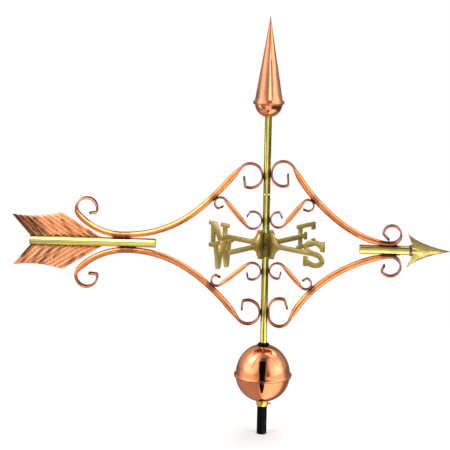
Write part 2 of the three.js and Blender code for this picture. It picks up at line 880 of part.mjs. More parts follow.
// The inner scroll runs straight from its hook on the pole to its eye, which rests in the main scroll's bend.
// The station is a share of the bend's length.
function innerScroll(scroll) {
  const { poleHeight, hook, station, eye } = scroll.inner;
  const contact = poleContact(innerStock, poleHeight);
  const mainBend = mainPens(scroll).eye.curves[2];
  const inward = mainBend.getTangent(station).rotateAround(new THREE.Vector2(), -Math.PI / 2);
  const reach = mainStock.rod / 2 + seat + innerStock.flat / 2 + eye.radius;
  const eyeMiddle = mainBend.getPoint(station).add(inward.multiplyScalar(reach));
  const across = eyeMiddle.sub(new THREE.Vector2(contact.x + hook.radius, contact.y));
  const radii = hook.radius + eye.radius;
  const climb = degrees(across.angle() + Math.asin(radii / across.length()));
  const straight = Math.sqrt(across.lengthSq() - radii ** 2);
  const pens = {
    hook: new Pen(contact, 90)
      .turn(hook.radius, -hook.turn)
      .turn(kinkRadius, -hook.kink)
      .forward(hook.tip),
    eye: new Pen(contact, -90)
      .turn(hook.radius, 90 + climb)
      .forward(straight)
      .turn(eye.radius, -eye.turn)
      .turn(kinkRadius, -eye.kink)
      .forward(eye.tip),
  };
  const curl = pens.eye.curves[0].getLength();
  const marks = [
    { at: curl - innerStock.rod, size: innerStock.flat },
    { at: curl + innerStock.rod * 2, size: innerStock.rod },
    { at: curl + straight - innerStock.rod * 2, size: innerStock.rod },
    { at: curl + straight + innerStock.rod / 2, size: innerStock.flat },
  ];
  return bentRod(innerStock, pens, marks, scroll.end, scroll.side);
}

// Assembly

function piece(name, geometry, finish) {
  const mesh = new THREE.Mesh(geometry, new THREE.MeshStandardMaterial(finishes[finish]));
  mesh.name = name;
  return mesh;
}

function mast() {
  const group = new THREE.Group();
  const upper = piece("globe_upper_half", globeUpper(), "copper");
  const lower = piece("globe_lower_half", globeLower(), "copper");
  const ball = piece("thrust_ball", thrustBall(), "steel");
  const screw = piece("globe_collar_screw", collarScrew(), "steel");
  upper.position.z = globeHeight;
  lower.position.z = globeHeight;
  ball.position.z = plugFoot - ballDrop;
  screw.position.z = collarTop - collarLength / 2;
  screw.rotation.z = rad(collarScrewBearing);
  group.add(
    piece("mounting_rod", mountingRod(), "black"),
    piece("spindle", spindle(), "steel"),
    piece("globe_bushing", globeBushing(), "black"),
    piece("globe_collar", globeCollar(), "brass"),
    upper,
    lower,
    ball,
    screw,
  );
  return group;
}

function compass() {
  const group = new THREE.Group();
  group.position.z = hubHeight;
  const { north, east, south, west } = letterSizes;
  const northSouth = compassCasting(northStrokes(north), north.width, southStrokes(south), 1);
  const westEast = compassCasting(westStrokes(west), west.width, eastStrokes(east), -1);
  const castings = [
    ["north_south", northSouth, northSouthTurn, 1],
    ["west_east", westEast, northSouthTurn + 90, -1],
  ];
  for (const [name, geometry, turn, collarSide] of castings) {
    const arm = new THREE.Group();
    arm.rotation.z = rad(turn);
    const screw = piece(name + "_screw", hubScrew(), "steel");
    screw.position.z = (collarSide * hubHalfHeight) / 2;
    screw.rotation.z = rad(hubScrewBearing);
    arm.add(piece(name + "_casting", geometry, "castBrass"), screw);
    group.add(arm);
  }
  return group;
}

function vane() {
  const group = new THREE.Group();
  group.position.z = arrowHeight;
  const cone = piece("finial_cone", finialCone(), "copper");
  const cup = piece("finial_cup", finialCup(), "copper");
  cone.position.z = finialRimAboveArrow;
  cup.position.z = finialRimAboveArrow;
  const tubeFoot = bushingTop + running - arrowHeight;
  const hubFoot = hubAboveArrow - hubHalfHeight - running;
  const hubTop = hubAboveArrow + hubHalfHeight + running;
  group.add(
    piece("lower_tube", poleTube(tubeFoot, hubFoot), "brass"),
    piece("upper_tube", poleTube(hubTop, seamAboveArrow - seat / 2), "brass"),
    piece("finial_tube", poleTube(seamAboveArrow + seat / 2, finialTubeTop), "brass"),
    piece("pivot_plug", pivotPlug(), "brass"),
    cone,
    cup,
  );

  const tailShaft = piece("tail_shaft", shaftTube(tailShaftEnd - tailShaftInner), "brass");
  const headShaft = piece("head_shaft", shaftTube(headShaftEnd - headShaftInner), "brass");
  const head = piece("arrowhead", arrowhead(), "brass");
  const ring = piece("arrowhead_ring", arrowheadRing(), "copper");
  tailShaft.position.x = -tailShaftEnd;
  headShaft.position.x = headShaftInner;
  head.position.x = headShaftEnd;
  ring.position.x = headShaftEnd - headRing.width;
  group.add(tailShaft, headShaft, head, ring);

  for (const [level, turn] of [["upper", 0], ["lower", Math.PI]]) {
    const fletching = piece(level + "_fletching", feather(), "copper");
    fletching.position.x = -tailShaftEnd;
    fletching.rotation.x = turn;
    group.add(fletching);
  }
  for (const [name, scroll] of Object.entries(scrolls)) {
    group.add(piece(name + "_scroll", mainScroll(scroll), "copper"));
    group.add(piece(name + "_inner_scroll", innerScroll(scroll), "copper"));
  }
  return group;
}

const weatherVane = new THREE.Group();
weatherVane.add(mast(), compass(), vane());

export default weatherVane;
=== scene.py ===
# Copper and brass weather vane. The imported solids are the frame, and each shown piece is made
# round them. Sizes are given in mm and angles in degrees; the meshes are in metres.
import bpy
import bmesh
import math
from mathutils import Matrix, Vector, noise


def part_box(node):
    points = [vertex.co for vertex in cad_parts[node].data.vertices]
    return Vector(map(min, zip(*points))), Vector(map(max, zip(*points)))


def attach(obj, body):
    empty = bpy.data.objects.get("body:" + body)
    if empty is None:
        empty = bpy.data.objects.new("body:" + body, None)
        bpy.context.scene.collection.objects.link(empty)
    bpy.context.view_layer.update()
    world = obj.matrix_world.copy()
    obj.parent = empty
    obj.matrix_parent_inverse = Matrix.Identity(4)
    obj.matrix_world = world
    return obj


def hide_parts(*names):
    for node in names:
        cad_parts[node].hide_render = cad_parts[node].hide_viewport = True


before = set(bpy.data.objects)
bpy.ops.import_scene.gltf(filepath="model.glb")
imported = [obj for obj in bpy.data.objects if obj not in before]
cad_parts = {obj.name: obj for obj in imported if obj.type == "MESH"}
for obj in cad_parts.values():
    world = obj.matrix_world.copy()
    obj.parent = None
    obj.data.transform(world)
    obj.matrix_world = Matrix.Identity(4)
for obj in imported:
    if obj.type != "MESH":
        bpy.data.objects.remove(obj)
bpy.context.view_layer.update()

mm = 0.001
mergeGap = 1e-6  # points nearer than this, in metres, become one
arrowHeight = 406  # middle of the arrow's shafts above the foot of the rod
seedSteps = (7.3, 3.1, 5.7)  # how far apart in the noise the dents of two pieces lie


# ---- helpers for meshes

def heights(node):
    low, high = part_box(node)
    return low.z / mm, high.z / mm


def reaches(node):
    low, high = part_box(node)
    return low.x / mm, high.x / mm


def arc(middle, size, start, end, steps):
    # points of an ellipse as [radius, height]
    points = []
    for i in range(steps + 1):
        angle = math.radians(start + (end - start) * i / steps)
        across, up = size[0] * math.cos(angle), size[1] * math.sin(angle)
        points.append([middle[0] + across, middle[1] + up])
    return points


def line(start, end, step):
    # a straight run of a profile, split so that stains and dents have points to sit on
    count = max(1, round(math.dist(start, end) / step))
    return [[a + (b - a) * i / count for a, b in zip(start, end)] for i in range(count + 1)]


def turned(profile, steps):
    # a profile of [radius, height] spun round the upright axis
    bm = bmesh.new()
    row = [bm.verts.new((radius * mm, 0, height * mm)) for radius, height in profile]
    edges = [bm.edges.new(pair) for pair in zip(row, row[1:])]
    if profile[0][0] > 0:
        edges.append(bm.edges.new((row[-1], row[0])))
    bmesh.ops.spin(
        bm, geom=row + edges, cent=(0, 0, 0), axis=(0, 0, 1), angle=math.tau, steps=steps,
        use_merge=True,
    )
    bmesh.ops.remove_doubles(bm, verts=bm.verts, dist=mergeGap)
    bmesh.ops.dissolve_degenerate(bm, edges=bm.edges, dist=mergeGap / 10)
    bmesh.ops.recalc_face_normals(bm, faces=bm.faces)
    return bm


def roundEdges(bm, width, segments=2, above=30):
    sharp = [e for e in bm.edges if e.is_manifold and e.calc_face_angle(0) > math.radians(above)]
    bmesh.ops.bevel(
        bm, geom=sharp, offset=width * mm, offset_type="OFFSET", affect="EDGES",
        segments=segments, profile=0.5, material=-1, clamp_overlap=True,
    )


def layAlongX(bm, height=arrowHeight, bearing=0):
    # what was turned round Z comes to lie along X at a height, and is then swung round Z
    def swing(degrees, axis):
        matrix = Matrix.Rotation(math.radians(degrees), 3, axis)
        bmesh.ops.rotate(bm, verts=bm.verts, cent=(0, 0, 0), matrix=matrix)

    swing(90, "Y")
    bmesh.ops.translate(bm, verts=bm.verts, vec=(0, 0, height * mm))
    swing(bearing, "Z")


def dent(bm, depth, spread, seed):
    # small hand-made unevenness along the normals
    bm.normal_update()
    shift = Vector([seed * step for step in seedSteps])
    moves = [(v, v.normal * noise.noise(v.co / (spread * mm) + shift) * depth * mm)
             for v in bm.verts]
    for vert, move in moves:
        vert.co += move


def mappedGrid(bm, mapName, columns, rows, length=1, width=1):
    # a flat grid with its own map, U along the columns and V along the rows
    uv = bm.loops.layers.uv.new(mapName)
    bmesh.ops.create_grid(bm, x_segments=columns, y_segments=rows, size=1, calc_uvs=True)
    for face in bm.faces:
        for loop in face.loops:
            u, v = loop[uv].uv
            loop[uv].uv = (u * length, v * width)


def skin(rings, length, girth, worked=None):
    # a tube through rings of points; its map is in metres
    bm = bmesh.new()
    beaten = bm.verts.layers.float.new("worked")
    sides = len(rings[0])
    mappedGrid(bm, "rodMap", len(rings) - 1, sides, length, girth)
    for index, vert in enumerate(bm.verts):
        row, column = divmod(index, len(rings))
        vert.co = rings[column][row % sides]
        vert[beaten] = worked[column] if worked else 0
    bmesh.ops.remove_doubles(bm, verts=bm.verts, dist=mergeGap)
    bmesh.ops.holes_fill(bm, edges=[e for e in bm.edges if e.is_boundary], sides=0)
    bmesh.ops.recalc_face_normals(bm, faces=bm.faces)
    return bm


def ringOf(middle, across, rise, size, sides):
    angles = [i * math.tau / sides for i in range(sides)]
    return [middle + (across * math.cos(a) + rise * math.sin(a)) * size for a in angles]


def meshOf(name, bm):
    mesh = bpy.data.meshes.new(name)
    bm.to_mesh(mesh)
    bm.free()
    return mesh


def placed(name, data):
    thing = bpy.data.objects.new(name, data)
    bpy.context.scene.collection.objects.link(thing)
    return thing


def finished(name, bm, body, nodes, finish, smooth=35):
    mesh = meshOf(name, bm)
    mesh.polygons.foreach_set("use_smooth", [True] * len(mesh.polygons))
    mesh.set_sharp_from_angle(angle=math.radians(smooth))
    mesh.materials.append(finish)
    piece = placed(name, mesh)
    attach(piece, body)
    if nodes:
        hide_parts(*nodes)
    return piece


def scorchAndShade(piece, heatAt):
    # how dark each point is made, 0 to 1: the torch's own marks, and painted shade where parts
    # meet, for the staining in the finish
    heat = piece.data.attributes.new("scorchAndShade", "FLOAT", "POINT")
    for vertex, item in zip(piece.data.vertices, heat.data):
        item.value = max(0, heatAt(vertex.co))


def gapTo(point, start, end):
    run = end - start
    share = (point - start).dot(run) / run.length_squared if run.length else 0
    return (point - start - run * max(0, min(1, share))).length


def heated(piece, marks):
    # marks are brazed joints, streaks burnt by the torch, and painted shade where parts touch:
    # start, end, reach, strength
    def heatAt(point):
        return max(strength * (1 - gapTo(point, start, end) / (reach * mm))
                   for start, end, reach, strength in marks)

    scorchAndShade(piece, heatAt)


def together(spots, reach):
    return [(spot, spot, reach, 1) for spot in spots]


# ---- helpers for materials

def feed(tree, node, inputs):
    for name, value in inputs.items():
        if isinstance(value, bpy.types.NodeSocket):
            tree.links.new(value, node.inputs[name])
        else:
            node.inputs[name].default_value = value
    return node


def put(tree, kind, inputs=None, **settings):
    node = tree.nodes.new("ShaderNode" + kind)
    for name, value in settings.items():
        setattr(node, name, value)
    return feed(tree, node, inputs or {})


def calc(tree, operation, a, b=0.0, c=0.0):
    return put(tree, "Math", {0: a, 1: b, 2: c}, operation=operation).outputs[0]


def times(tree, a, b):
    return calc(tree, "MULTIPLY", a, b)


def vectorCalc(tree, operation, a, b=(0, 0, 0)):
    return put(tree, "VectorMath", {0: a, 1: b}, operation=operation).outputs


def tint(tree, factor, a, b):
    inputs = {0: factor, 6: a, 7: b}
    return put(tree, "Mix", inputs, data_type="RGBA", clamp_factor=True).outputs[2]


def choose(tree, factor, a, b):
    return put(tree, "Mix", {0: factor, 2: a, 3: b}, data_type="FLOAT").outputs[0]


def between(tree, value, low, high, most=1.0):
    inputs = {"Value": value, "From Min": low, "From Max": high, "To Max": most}
    return put(tree, "MapRange", inputs, interpolation_type="SMOOTHSTEP").outputs[0]


def clouded(tree, vector, scale, detail, roughness=0.5, distortion=0.0):
    inputs = {"Vector": vector, "Scale": scale, "Detail": detail, "Roughness": roughness}
    return put(tree, "TexNoise", {**inputs, "Distortion": distortion}).outputs[0]


def colour(red, green, blue):
    # a colour as it is picked on screen, 0 to 255
    def linear(c):
        c /= 255
        return c / 12.92 if c <= 0.04045 else ((c + 0.055) / 1.055) ** 2.4
    return (linear(red), linear(green), linear(blue), 1)


def emptyTree(owner):
    owner.use_nodes = True
    owner.node_tree.nodes.clear()
    return owner.node_tree


def newMaterial(name):
    material = bpy.data.materials.new(name)
    return material, emptyTree(material)


# ---- effects that more than one finish uses

def effectGroup(name, numbers, results):
    group = bpy.data.node_groups.new(name, "ShaderNodeTree")
    group.interface.new_socket(name="Vector", in_out="INPUT", socket_type="NodeSocketVector")
    for label in numbers:
        group.interface.new_socket(name=label, in_out="INPUT", socket_type="NodeSocketFloat")
    for label in results:
        group.interface.new_socket(name=label, in_out="OUTPUT", socket_type="NodeSocketFloat")
    given, result = group.nodes.new("NodeGroupInput"), group.nodes.new("NodeGroupOutput")
    return group, given.outputs, result


def makeBrushing():
    # fine parallel scratches; a finish stretches the vector along them
    values = {"detail": 4.0, "roughness": 0.6, "wideScale": 0.23, "wideDetail": 2.0,
              "fineShare": 0.4, "wideShare": 0.6, "mask": (0.35, 0.65)}
    group, given, result = effectGroup("fineBrushing", ["Scale"], ["Height", "Mask"])
    fine = clouded(group, given["Vector"], given["Scale"], values["detail"], values["roughness"])
    wideScale = times(group, given["Scale"], values["wideScale"])
    wide = clouded(group, given["Vector"], wideScale, values["wideDetail"])
    fine = times(group, fine, values["fineShare"])
    both = calc(group, "MULTIPLY_ADD", wide, values["wideShare"], fine)
    feed(group, result, {"Height": both, "Mask": between(group, both, *values["mask"])})
    return group


def makeTarnish():
    # soft clouds with a few small spots in them
    values = {"detail": 5.0, "roughness": 0.62, "distortion": 0.6, "cover": (-0.4, 0.62),
              "softness": 0.22, "spotScale": 9.0, "spotEdge": (0.22, 0.1)}
    group, given, result = effectGroup("tarnish", ["Scale", "Coverage"], ["Clouds", "Spots"])
    clouds = clouded(group, given["Vector"], given["Scale"], values["detail"],
                     values["roughness"], values["distortion"])
    low = calc(group, "MULTIPLY_ADD", given["Coverage"], *values["cover"])
    mask = between(group, clouds, low, calc(group, "ADD", low, values["softness"]))
    spotScale = times(group, given["Scale"], values["spotScale"])
    cells = put(group, "TexVoronoi", {"Vector": given["Vector"], "Scale": spotScale})
    spots = between(group, cells.outputs["Distance"], *values["spotEdge"])
    feed(group, result, {"Clouds": mask, "Spots": times(group, spots, mask)})
    return group


def makeEdgeWear():
    # bright where the surface turns sharply, broken up by noise
    values = {"samples": 4, "noise": (260.0, 3.0), "turn": (0.995, 0.9), "broken": (0.3, 0.6)}
    group, given, result = effectGroup("edgeWear", ["Width"], ["Mask"])
    worn = put(group, "Bevel", {"Radius": given["Width"]}, samples=values["samples"]).outputs[0]
    facing = put(group, "NewGeometry").outputs["Normal"]
    dot = vectorCalc(group, "DOT_PRODUCT", worn, facing)["Value"]
    rough = clouded(group, given["Vector"], *values["noise"])
    edge = between(group, dot, *values["turn"])
    feed(group, result, {"Mask": times(group, edge, between(group, rough, *values["broken"]))})
    return group


def makeHeatStain():
    # the torch leaves a dark scale at a joint and a violet-brown rim round it; the same darkening
    # is also painted shade where parts meet
    values = {"noise": (170.0, 4.0, 0.6), "ragged": (0.5, -0.25), "present": (0.0, 0.06),
              "scale": (0.52, 0.8), "rim": (0.12, 0.5)}
    group, given, result = effectGroup("heatStain", ["Heat"], ["Scale", "Rim"])
    ragged = clouded(group, given["Vector"], *values["noise"])
    ragged = calc(group, "MULTIPLY_ADD", ragged, *values["ragged"])
    heat = calc(group, "ADD", given["Heat"], ragged)
    present = between(group, given["Heat"], *values["present"])
    for label, span in (("Scale", values["scale"]), ("Rim", values["rim"])):
        feed(group, result, {label: times(group, between(group, heat, *span), present)})
    return group


brushing = makeBrushing()
tarnish = makeTarnish()
edgeWear = makeEdgeWear()
heatStain = makeHeatStain()


# ---- finishes

plainLook = dict(
    mapped=False, wear=0, worked=0, heat=0, coat=0.0, coatIor=1.5, coatRoughness=0.06,
    specular=0.5, edge=(255, 255, 255),
)
# how far work and torch marks, with their painted shade, show: masks from and to, and depths
workMarks = {"ragged": 0.16, "flat": (0.12, 0.62), "tip": (0.68, 0.98), "tipDepth": 0.85}
heatMarks = {"rim": 0.62, "scale": 0.94, "rough": 0.3, "metallic": -0.6}


def metalFinish(name, base, **changes):
    look = {**plainLook, **base, **changes}
    material, tree = newMaterial(name)

    def effect(group, **inputs):
        return put(tree, "Group", inputs, node_tree=group).outputs

    def over(shade, mask, depth, key):
        return tint(tree, times(tree, mask, depth), shade, colour(*look[key]))

    places = put(tree, "TexCoord").outputs
    solid = places["Object"]
    along = places["UV"] if look["mapped"] else solid
    grain = put(tree, "Mapping", {"Vector": along, "Scale": look["grain"]}).outputs[0]
    lines = effect(brushing, Vector=grain, Scale=look["grainScale"])
    clouds = effect(tarnish, Vector=solid, Scale=look["cloudScale"], Coverage=look["coverage"])
    shade = over(colour(*look["colour"]), clouds["Clouds"], look["cloudDepth"], "deep")
    shade = over(shade, lines["Mask"], look["lineDepth"], "line")
    shade = over(shade, clouds["Spots"], look["spotDepth"], "spot")
    rough = calc(tree, "MULTIPLY_ADD", clouds["Clouds"], look["cloudRough"], look["roughness"])
    rough = calc(tree, "MULTIPLY_ADD", lines["Mask"], look["lineRough"], rough)
    metallic = look["metallic"]
    if look["wear"]:
        worn = effect(edgeWear, Vector=solid, Width=look["wearWidth"])["Mask"]
        shade = over(shade, worn, look["wear"], "worn")
    if look["worked"]:
        # hammered flats are annealed to a pinkish brown, and the scrolls' tips are burnt dark
        beaten = put(tree, "Attribute", attribute_name="worked").outputs["Fac"]
        ragged = calc(tree, "MULTIPLY_ADD", clouds["Clouds"], workMarks["ragged"], beaten)
        flat = between(tree, ragged, *workMarks["flat"], look["worked"])
        tip = between(tree, ragged, *workMarks["tip"], workMarks["tipDepth"])
        shade = tint(tree, flat, shade, colour(*look["annealed"]))
        shade = tint(tree, tip, shade, colour(*look["scorch"]))
    # torch marks from the attribute, partly painted shade where parts meet and at the hub
    if look["heat"]:
        near = put(tree, "Attribute", attribute_name="scorchAndShade").outputs["Fac"]
        darkening = effect(heatStain, Heat=near, Vector=solid)
        shade = over(shade, darkening["Rim"], heatMarks["rim"] * look["heat"], "rim")
        shade = over(shade, darkening["Scale"], heatMarks["scale"] * look["heat"], "scorch")
        rough = calc(tree, "MULTIPLY_ADD", darkening["Scale"], heatMarks["rough"], rough)
        metallic = calc(tree, "MULTIPLY_ADD", darkening["Scale"], heatMarks["metallic"], metallic)
    waves = clouded(tree, along, look["waveScale"], 2.0)
    soft = put(tree, "Bump", {"Height": waves, "Strength": look["wave"], "Distance": 0.001})
    fine = put(tree, "Bump", {"Height": lines["Height"], "Strength": look["bump"],
                              "Distance": 0.0001, "Normal": soft.outputs[0]})
    surface = put(tree, "BsdfPrincipled", {
        "Base Color": shade, "Roughness": rough, "Metallic": metallic, "Normal": fine.outputs[0],
        "Coat Weight": look["coat"], "Coat Roughness": look["coatRoughness"],
        "Coat IOR": look["coatIor"], "Specular IOR Level": look["specular"],
        "Specular Tint": colour(*look["edge"]),
    })
    put(tree, "OutputMaterial", {0: surface.outputs[0]})
    return material


copperLook = dict(
    colour=(232, 132, 64), deep=(198, 98, 42), line=(242, 152, 84), spot=(96, 40, 22),
    worn=(255, 196, 148), rim=(96, 44, 34), scorch=(30, 18, 14), annealed=(176, 100, 78),
    edge=(214, 150, 110), roughness=0.07, cloudRough=0.05, lineRough=0.04, metallic=1.0,
    coat=1.0, coatIor=1.85, grain=(8, 8, 300), grainScale=6.0, cloudScale=14.0, coverage=0.4,
    cloudDepth=0.5, lineDepth=0.14, spotDepth=0.3, bump=0.05, wave=0.05, waveScale=30.0,
)
copperSpun = metalFinish("spunCopper", copperLook)
# painted shade: the globe's lower half takes a darker, more saturated copy of the spun copper with
# less coat
copperShadedBelow = metalFinish(
    "spunCopperShadedBelow", copperLook, colour=(224, 120, 58), deep=(190, 90, 40), line=(236, 138, 74),
    coat=0.8, coatIor=1.7,
)
copperCone = metalFinish(
    "rolledCopper", copperLook, colour=(216, 118, 62), deep=(186, 92, 70), rim=(140, 76, 48),
    roughness=0.12, coatIor=1.75, grain=(260, 260, 9), cloudDepth=0.6, lineDepth=0.34, wave=0.3,
    waveScale=24.0, heat=1.0,
)
copperRod = metalFinish(
    "hammeredCopper", copperLook, colour=(238, 142, 78), deep=(188, 94, 44), mapped=True,
    roughness=0.13, coat=0.35, coatIor=1.6, grain=(6, 90, 1), grainScale=9.0, cloudScale=26.0,
    cloudDepth=0.45, wave=0.5, waveScale=95.0, heat=1.0, worked=0.75, wear=0.4, wearWidth=0.0007,
)
copperSheet = metalFinish(
    "pleatedCopper", copperLook, colour=(255, 196, 146), deep=(240, 148, 94), line=(255, 222, 188),
    rim=(144, 74, 30), scorch=(64, 28, 8), mapped=True, roughness=0.26, metallic=0.55, coat=0.2,
    coatIor=1.6, grain=(60, 3, 1), grainScale=7.0, cloudScale=22.0, lineDepth=0.25, spotDepth=0.1,
    wave=0.15, waveScale=60.0, heat=0.9,
)
copperBand = metalFinish(
    "darkCopper", copperLook, colour=(92, 52, 34), deep=(40, 24, 18), line=(120, 70, 44),
    roughness=0.25, coverage=0.7,
)

brassLook = dict(
    colour=(226, 210, 88), deep=(160, 140, 44), line=(246, 232, 128), spot=(76, 62, 18),
    worn=(250, 240, 170), rim=(84, 62, 22), scorch=(22, 17, 12), edge=(226, 214, 150),
    roughness=0.1, cloudRough=0.07, lineRough=0.04, metallic=1.0, coat=0.8, coatIor=1.6,
    grain=(240, 240, 5), grainScale=4.0, cloudScale=30.0, coverage=0.42, cloudDepth=0.5,
    lineDepth=0.2, spotDepth=0.35, bump=0.08, wave=0.1, waveScale=60.0,
)
brassPole = metalFinish("drawnBrassUpright", brassLook, colour=(220, 212, 86), heat=1.0)
brassShaft = metalFinish(
    "drawnBrassLevel", brassLook, grain=(5, 240, 240), coatIor=2.0, heat=1.0,
)
brassHead = metalFinish(
    "polishedBrass", brassLook, colour=(236, 208, 116), deep=(196, 164, 74), rim=(190, 162, 80),
    scorch=(66, 58, 20), grain=(60, 60, 12), grainScale=8.0, wave=0.2, heat=1.0, wear=0.4,
    wearWidth=0.0009,
)
brassCollar = metalFinish("turnedBrass", brassLook, colour=(232, 174, 62), grain=(10, 10, 500))
brassCast = metalFinish(
    "castBrass", brassLook, colour=(196, 172, 102), deep=(138, 116, 46), line=(208, 188, 122),
    worn=(220, 200, 120), rim=(104, 84, 26), roughness=0.36, cloudRough=0.1, coat=0.0,
    grain=(40, 40, 60), grainScale=30.0, cloudScale=16.0, coverage=0.5, cloudDepth=0.6,
    lineDepth=0.12, spotDepth=0.25, bump=0.22, wave=0.2, waveScale=160.0, heat=0.9, wear=0.5,
    wearWidth=0.001,
)
# dark braze metal for the beads, partly painted shade in the corners where parts meet
brazeAndShadeMetal = metalFinish(
    "brazeBeadAndShade", brassLook, colour=(92, 64, 36), deep=(34, 24, 16), line=(128, 96, 52),
    roughness=0.4, coat=0.0, grain=(30, 30, 30), grainScale=30.0, cloudScale=120.0,
    coverage=0.75, cloudDepth=0.9, bump=0.4,
)

steelLook = dict(
    colour=(190, 190, 192), deep=(128, 126, 124), line=(220, 220, 222), spot=(96, 72, 54),
    roughness=0.3, cloudRough=0.12, lineRough=0.08, metallic=1.0, grain=(10, 10, 400),
    grainScale=6.0, cloudScale=40.0, coverage=0.45, cloudDepth=0.4, lineDepth=0.3,
    spotDepth=0.5, bump=0.15, wave=0.05, waveScale=80.0,
)
steelTurned = metalFinish("turnedSteel", steelLook)
steelScrew = metalFinish("screwSteel", steelLook, colour=(206, 160, 146), grain=(60, 60, 60))

blackLook = dict(
    roughness=0.5, lineRough=0.05, metallic=0.0, grainScale=20.0, coverage=0.5, cloudDepth=0.5,
    bump=0.2, wearWidth=0.0006,
)
blackPaint = metalFinish(
    "blackPaint", blackLook, colour=(5, 5, 5), deep=(3, 3, 3), line=(8, 8, 8), spot=(20, 18, 16),
    worn=(34, 32, 31), cloudRough=0.12, grain=(30, 30, 8), cloudScale=60.0, specular=0.06,
    lineDepth=0.4, spotDepth=0.25, wave=0.18, waveScale=420.0, wear=0.5,
)
blackRubber = metalFinish(
    "blackRubber", blackLook, colour=(7, 6, 6), deep=(10, 9, 9), line=(4, 4, 4),
    spot=(28, 24, 21), worn=(26, 24, 23), cloudRough=0.15, grain=(60, 60, 60), cloudScale=80.0,
    specular=0.08, lineDepth=0.3, spotDepth=0.2, wave=0.1, waveScale=300.0, wear=0.4,
)
print("finishes:", len(bpy.data.materials))


# ---- mast: rod, spindle, ball, globe, bushing, collar

fits = {"seat": 0.3, "rodBore": 10.7, "spindleBore": 5.8}
globeHeight = 130
flangeShare = 0.7  # how far a flange reaches over the bead, of the bead's radius


def makeRod():
    rod = {"radius": 10.4, "chamfer": 0.6, "socketDepth": 45, "soft": 0.15, "sides": 56}
    foot, top = heights("mounting_rod")
    radius, chamfer, bore = rod["radius"], rod["chamfer"], fits["spindleBore"]
    socketFoot = top - rod["socketDepth"]
    profile = [
        [0, foot], [radius - chamfer, foot], [radius, foot + chamfer], [radius, top - chamfer],
        [radius - chamfer, top], [bore, top], [bore, socketFoot], [0, socketFoot],
    ]
    bm = turned(profile, rod["sides"])
    roundEdges(bm, rod["soft"])
    finished("mountingRod", bm, "mast", ["mounting_rod"], blackPaint)


def makeSpindle():
    spindle = {"radius": 5.5, "seatMouth": 3.6, "soft": 0.2, "sides": 40, "ballSides": 36}
    foot, top = heights("spindle")
    radius, mouth = spindle["radius"], spindle["seatMouth"]
    profile = [[0, foot], [radius, foot], [radius, top], [mouth, top], [0, top - mouth]]
    bm = turned(profile, spindle["sides"])
    roundEdges(bm, spindle["soft"])
    finished("spindle", bm, "mast", ["spindle"], steelTurned)
    low, high = heights("thrust_ball")
    radius = (high - low) / 2
    ball = arc([0, low + radius], [radius, radius], -90, 90, steps=spindle["ballSides"] // 2)
    ball[0][0] = ball[-1][0] = 0
    bm = turned(ball, spindle["ballSides"])
    finished("thrustBall", bm, "mast", ["thrust_ball"], steelTurned)


def rolledEdge(radius, height, wall, bead, steps):
    # the sheet's edge curls out and back under itself
    start, end = 125, -135
    return arc([radius + bead - wall / 2, height], [bead, bead], start, end, steps)


globe = {
    "radius": 57.6, "rise": 65, "drop": 58.5, "wall": 1, "bead": 2.1, "flangeDrop": 2.4,
    "flange": 0.9, "dent": 0.16, "dentSpread": 34, "soft": 0.2, "sides": 120,
    "outerFoot": 2.5, "innerFoot": -1,  # angles at which the shell's sides meet the rolled edge
}


def makeGlobeHalf(name, node, profile, finish, seed):
    bm = turned(profile, globe["sides"])
    dent(bm, globe["dent"], globe["dentSpread"], seed)
    roundEdges(bm, globe["soft"], above=60)
    finished(name, bm, "mast", [node], finish, smooth=50)


def makeGlobe():
    radius, bead, wall, drop = globe["radius"], globe["bead"], globe["wall"], globe["drop"]
    inside = radius - wall
    outerEnd = math.degrees(math.acos(fits["rodBore"] / radius))
    innerEnd = math.degrees(math.acos(fits["rodBore"] / inside))
    middle = [0, globeHeight]
    upper = arc(middle, [radius, globe["rise"]], outerEnd, globe["outerFoot"], steps=40)
    upper += rolledEdge(radius, globeHeight, wall, bead, steps=14)
    upper += arc(middle, [inside, globe["rise"] - wall], globe["innerFoot"], innerEnd, steps=22)
    makeGlobeHalf("globeUpperHalf", "globe_upper_half", upper, copperSpun, 1)
    top = -globe["flangeDrop"]
    foot = top - globe["flange"]
    reach = radius + bead - wall / 2 + bead * flangeShare
    outerFrom = math.degrees(math.asin(foot / drop))
    innerFrom = math.degrees(math.asin(top / (drop - wall)))
    lower = [[reach, globeHeight + top], [reach, globeHeight + foot]]
    lower += arc(middle, [radius, drop], outerFrom, -outerEnd, steps=36)
    lower += arc(middle, [inside, drop - wall], -innerEnd, innerFrom, steps=22)
    makeGlobeHalf("globeLowerHalf", "globe_lower_half", lower, copperShadedBelow, 2)


def makeBushing():
    bushing = {"foot": 12.8, "top": 9.6, "skirt": 1.6, "aboveRod": 2.4, "soft": 0.7, "sides": 56}
    foot, top = heights("globe_bushing")
    step, wide, narrow = foot + bushing["aboveRod"], fits["rodBore"], fits["spindleBore"]
    profile = [
        [wide, foot], [bushing["foot"], foot], [bushing["foot"], foot + bushing["skirt"]],
        [bushing["top"], top], [narrow, top], [narrow, step], [wide, step],
    ]
    bm = turned(profile, bushing["sides"])
    roundEdges(bm, bushing["soft"], segments=3)
    finished("globeBushing", bm, "mast", ["globe_bushing"], blackRubber)


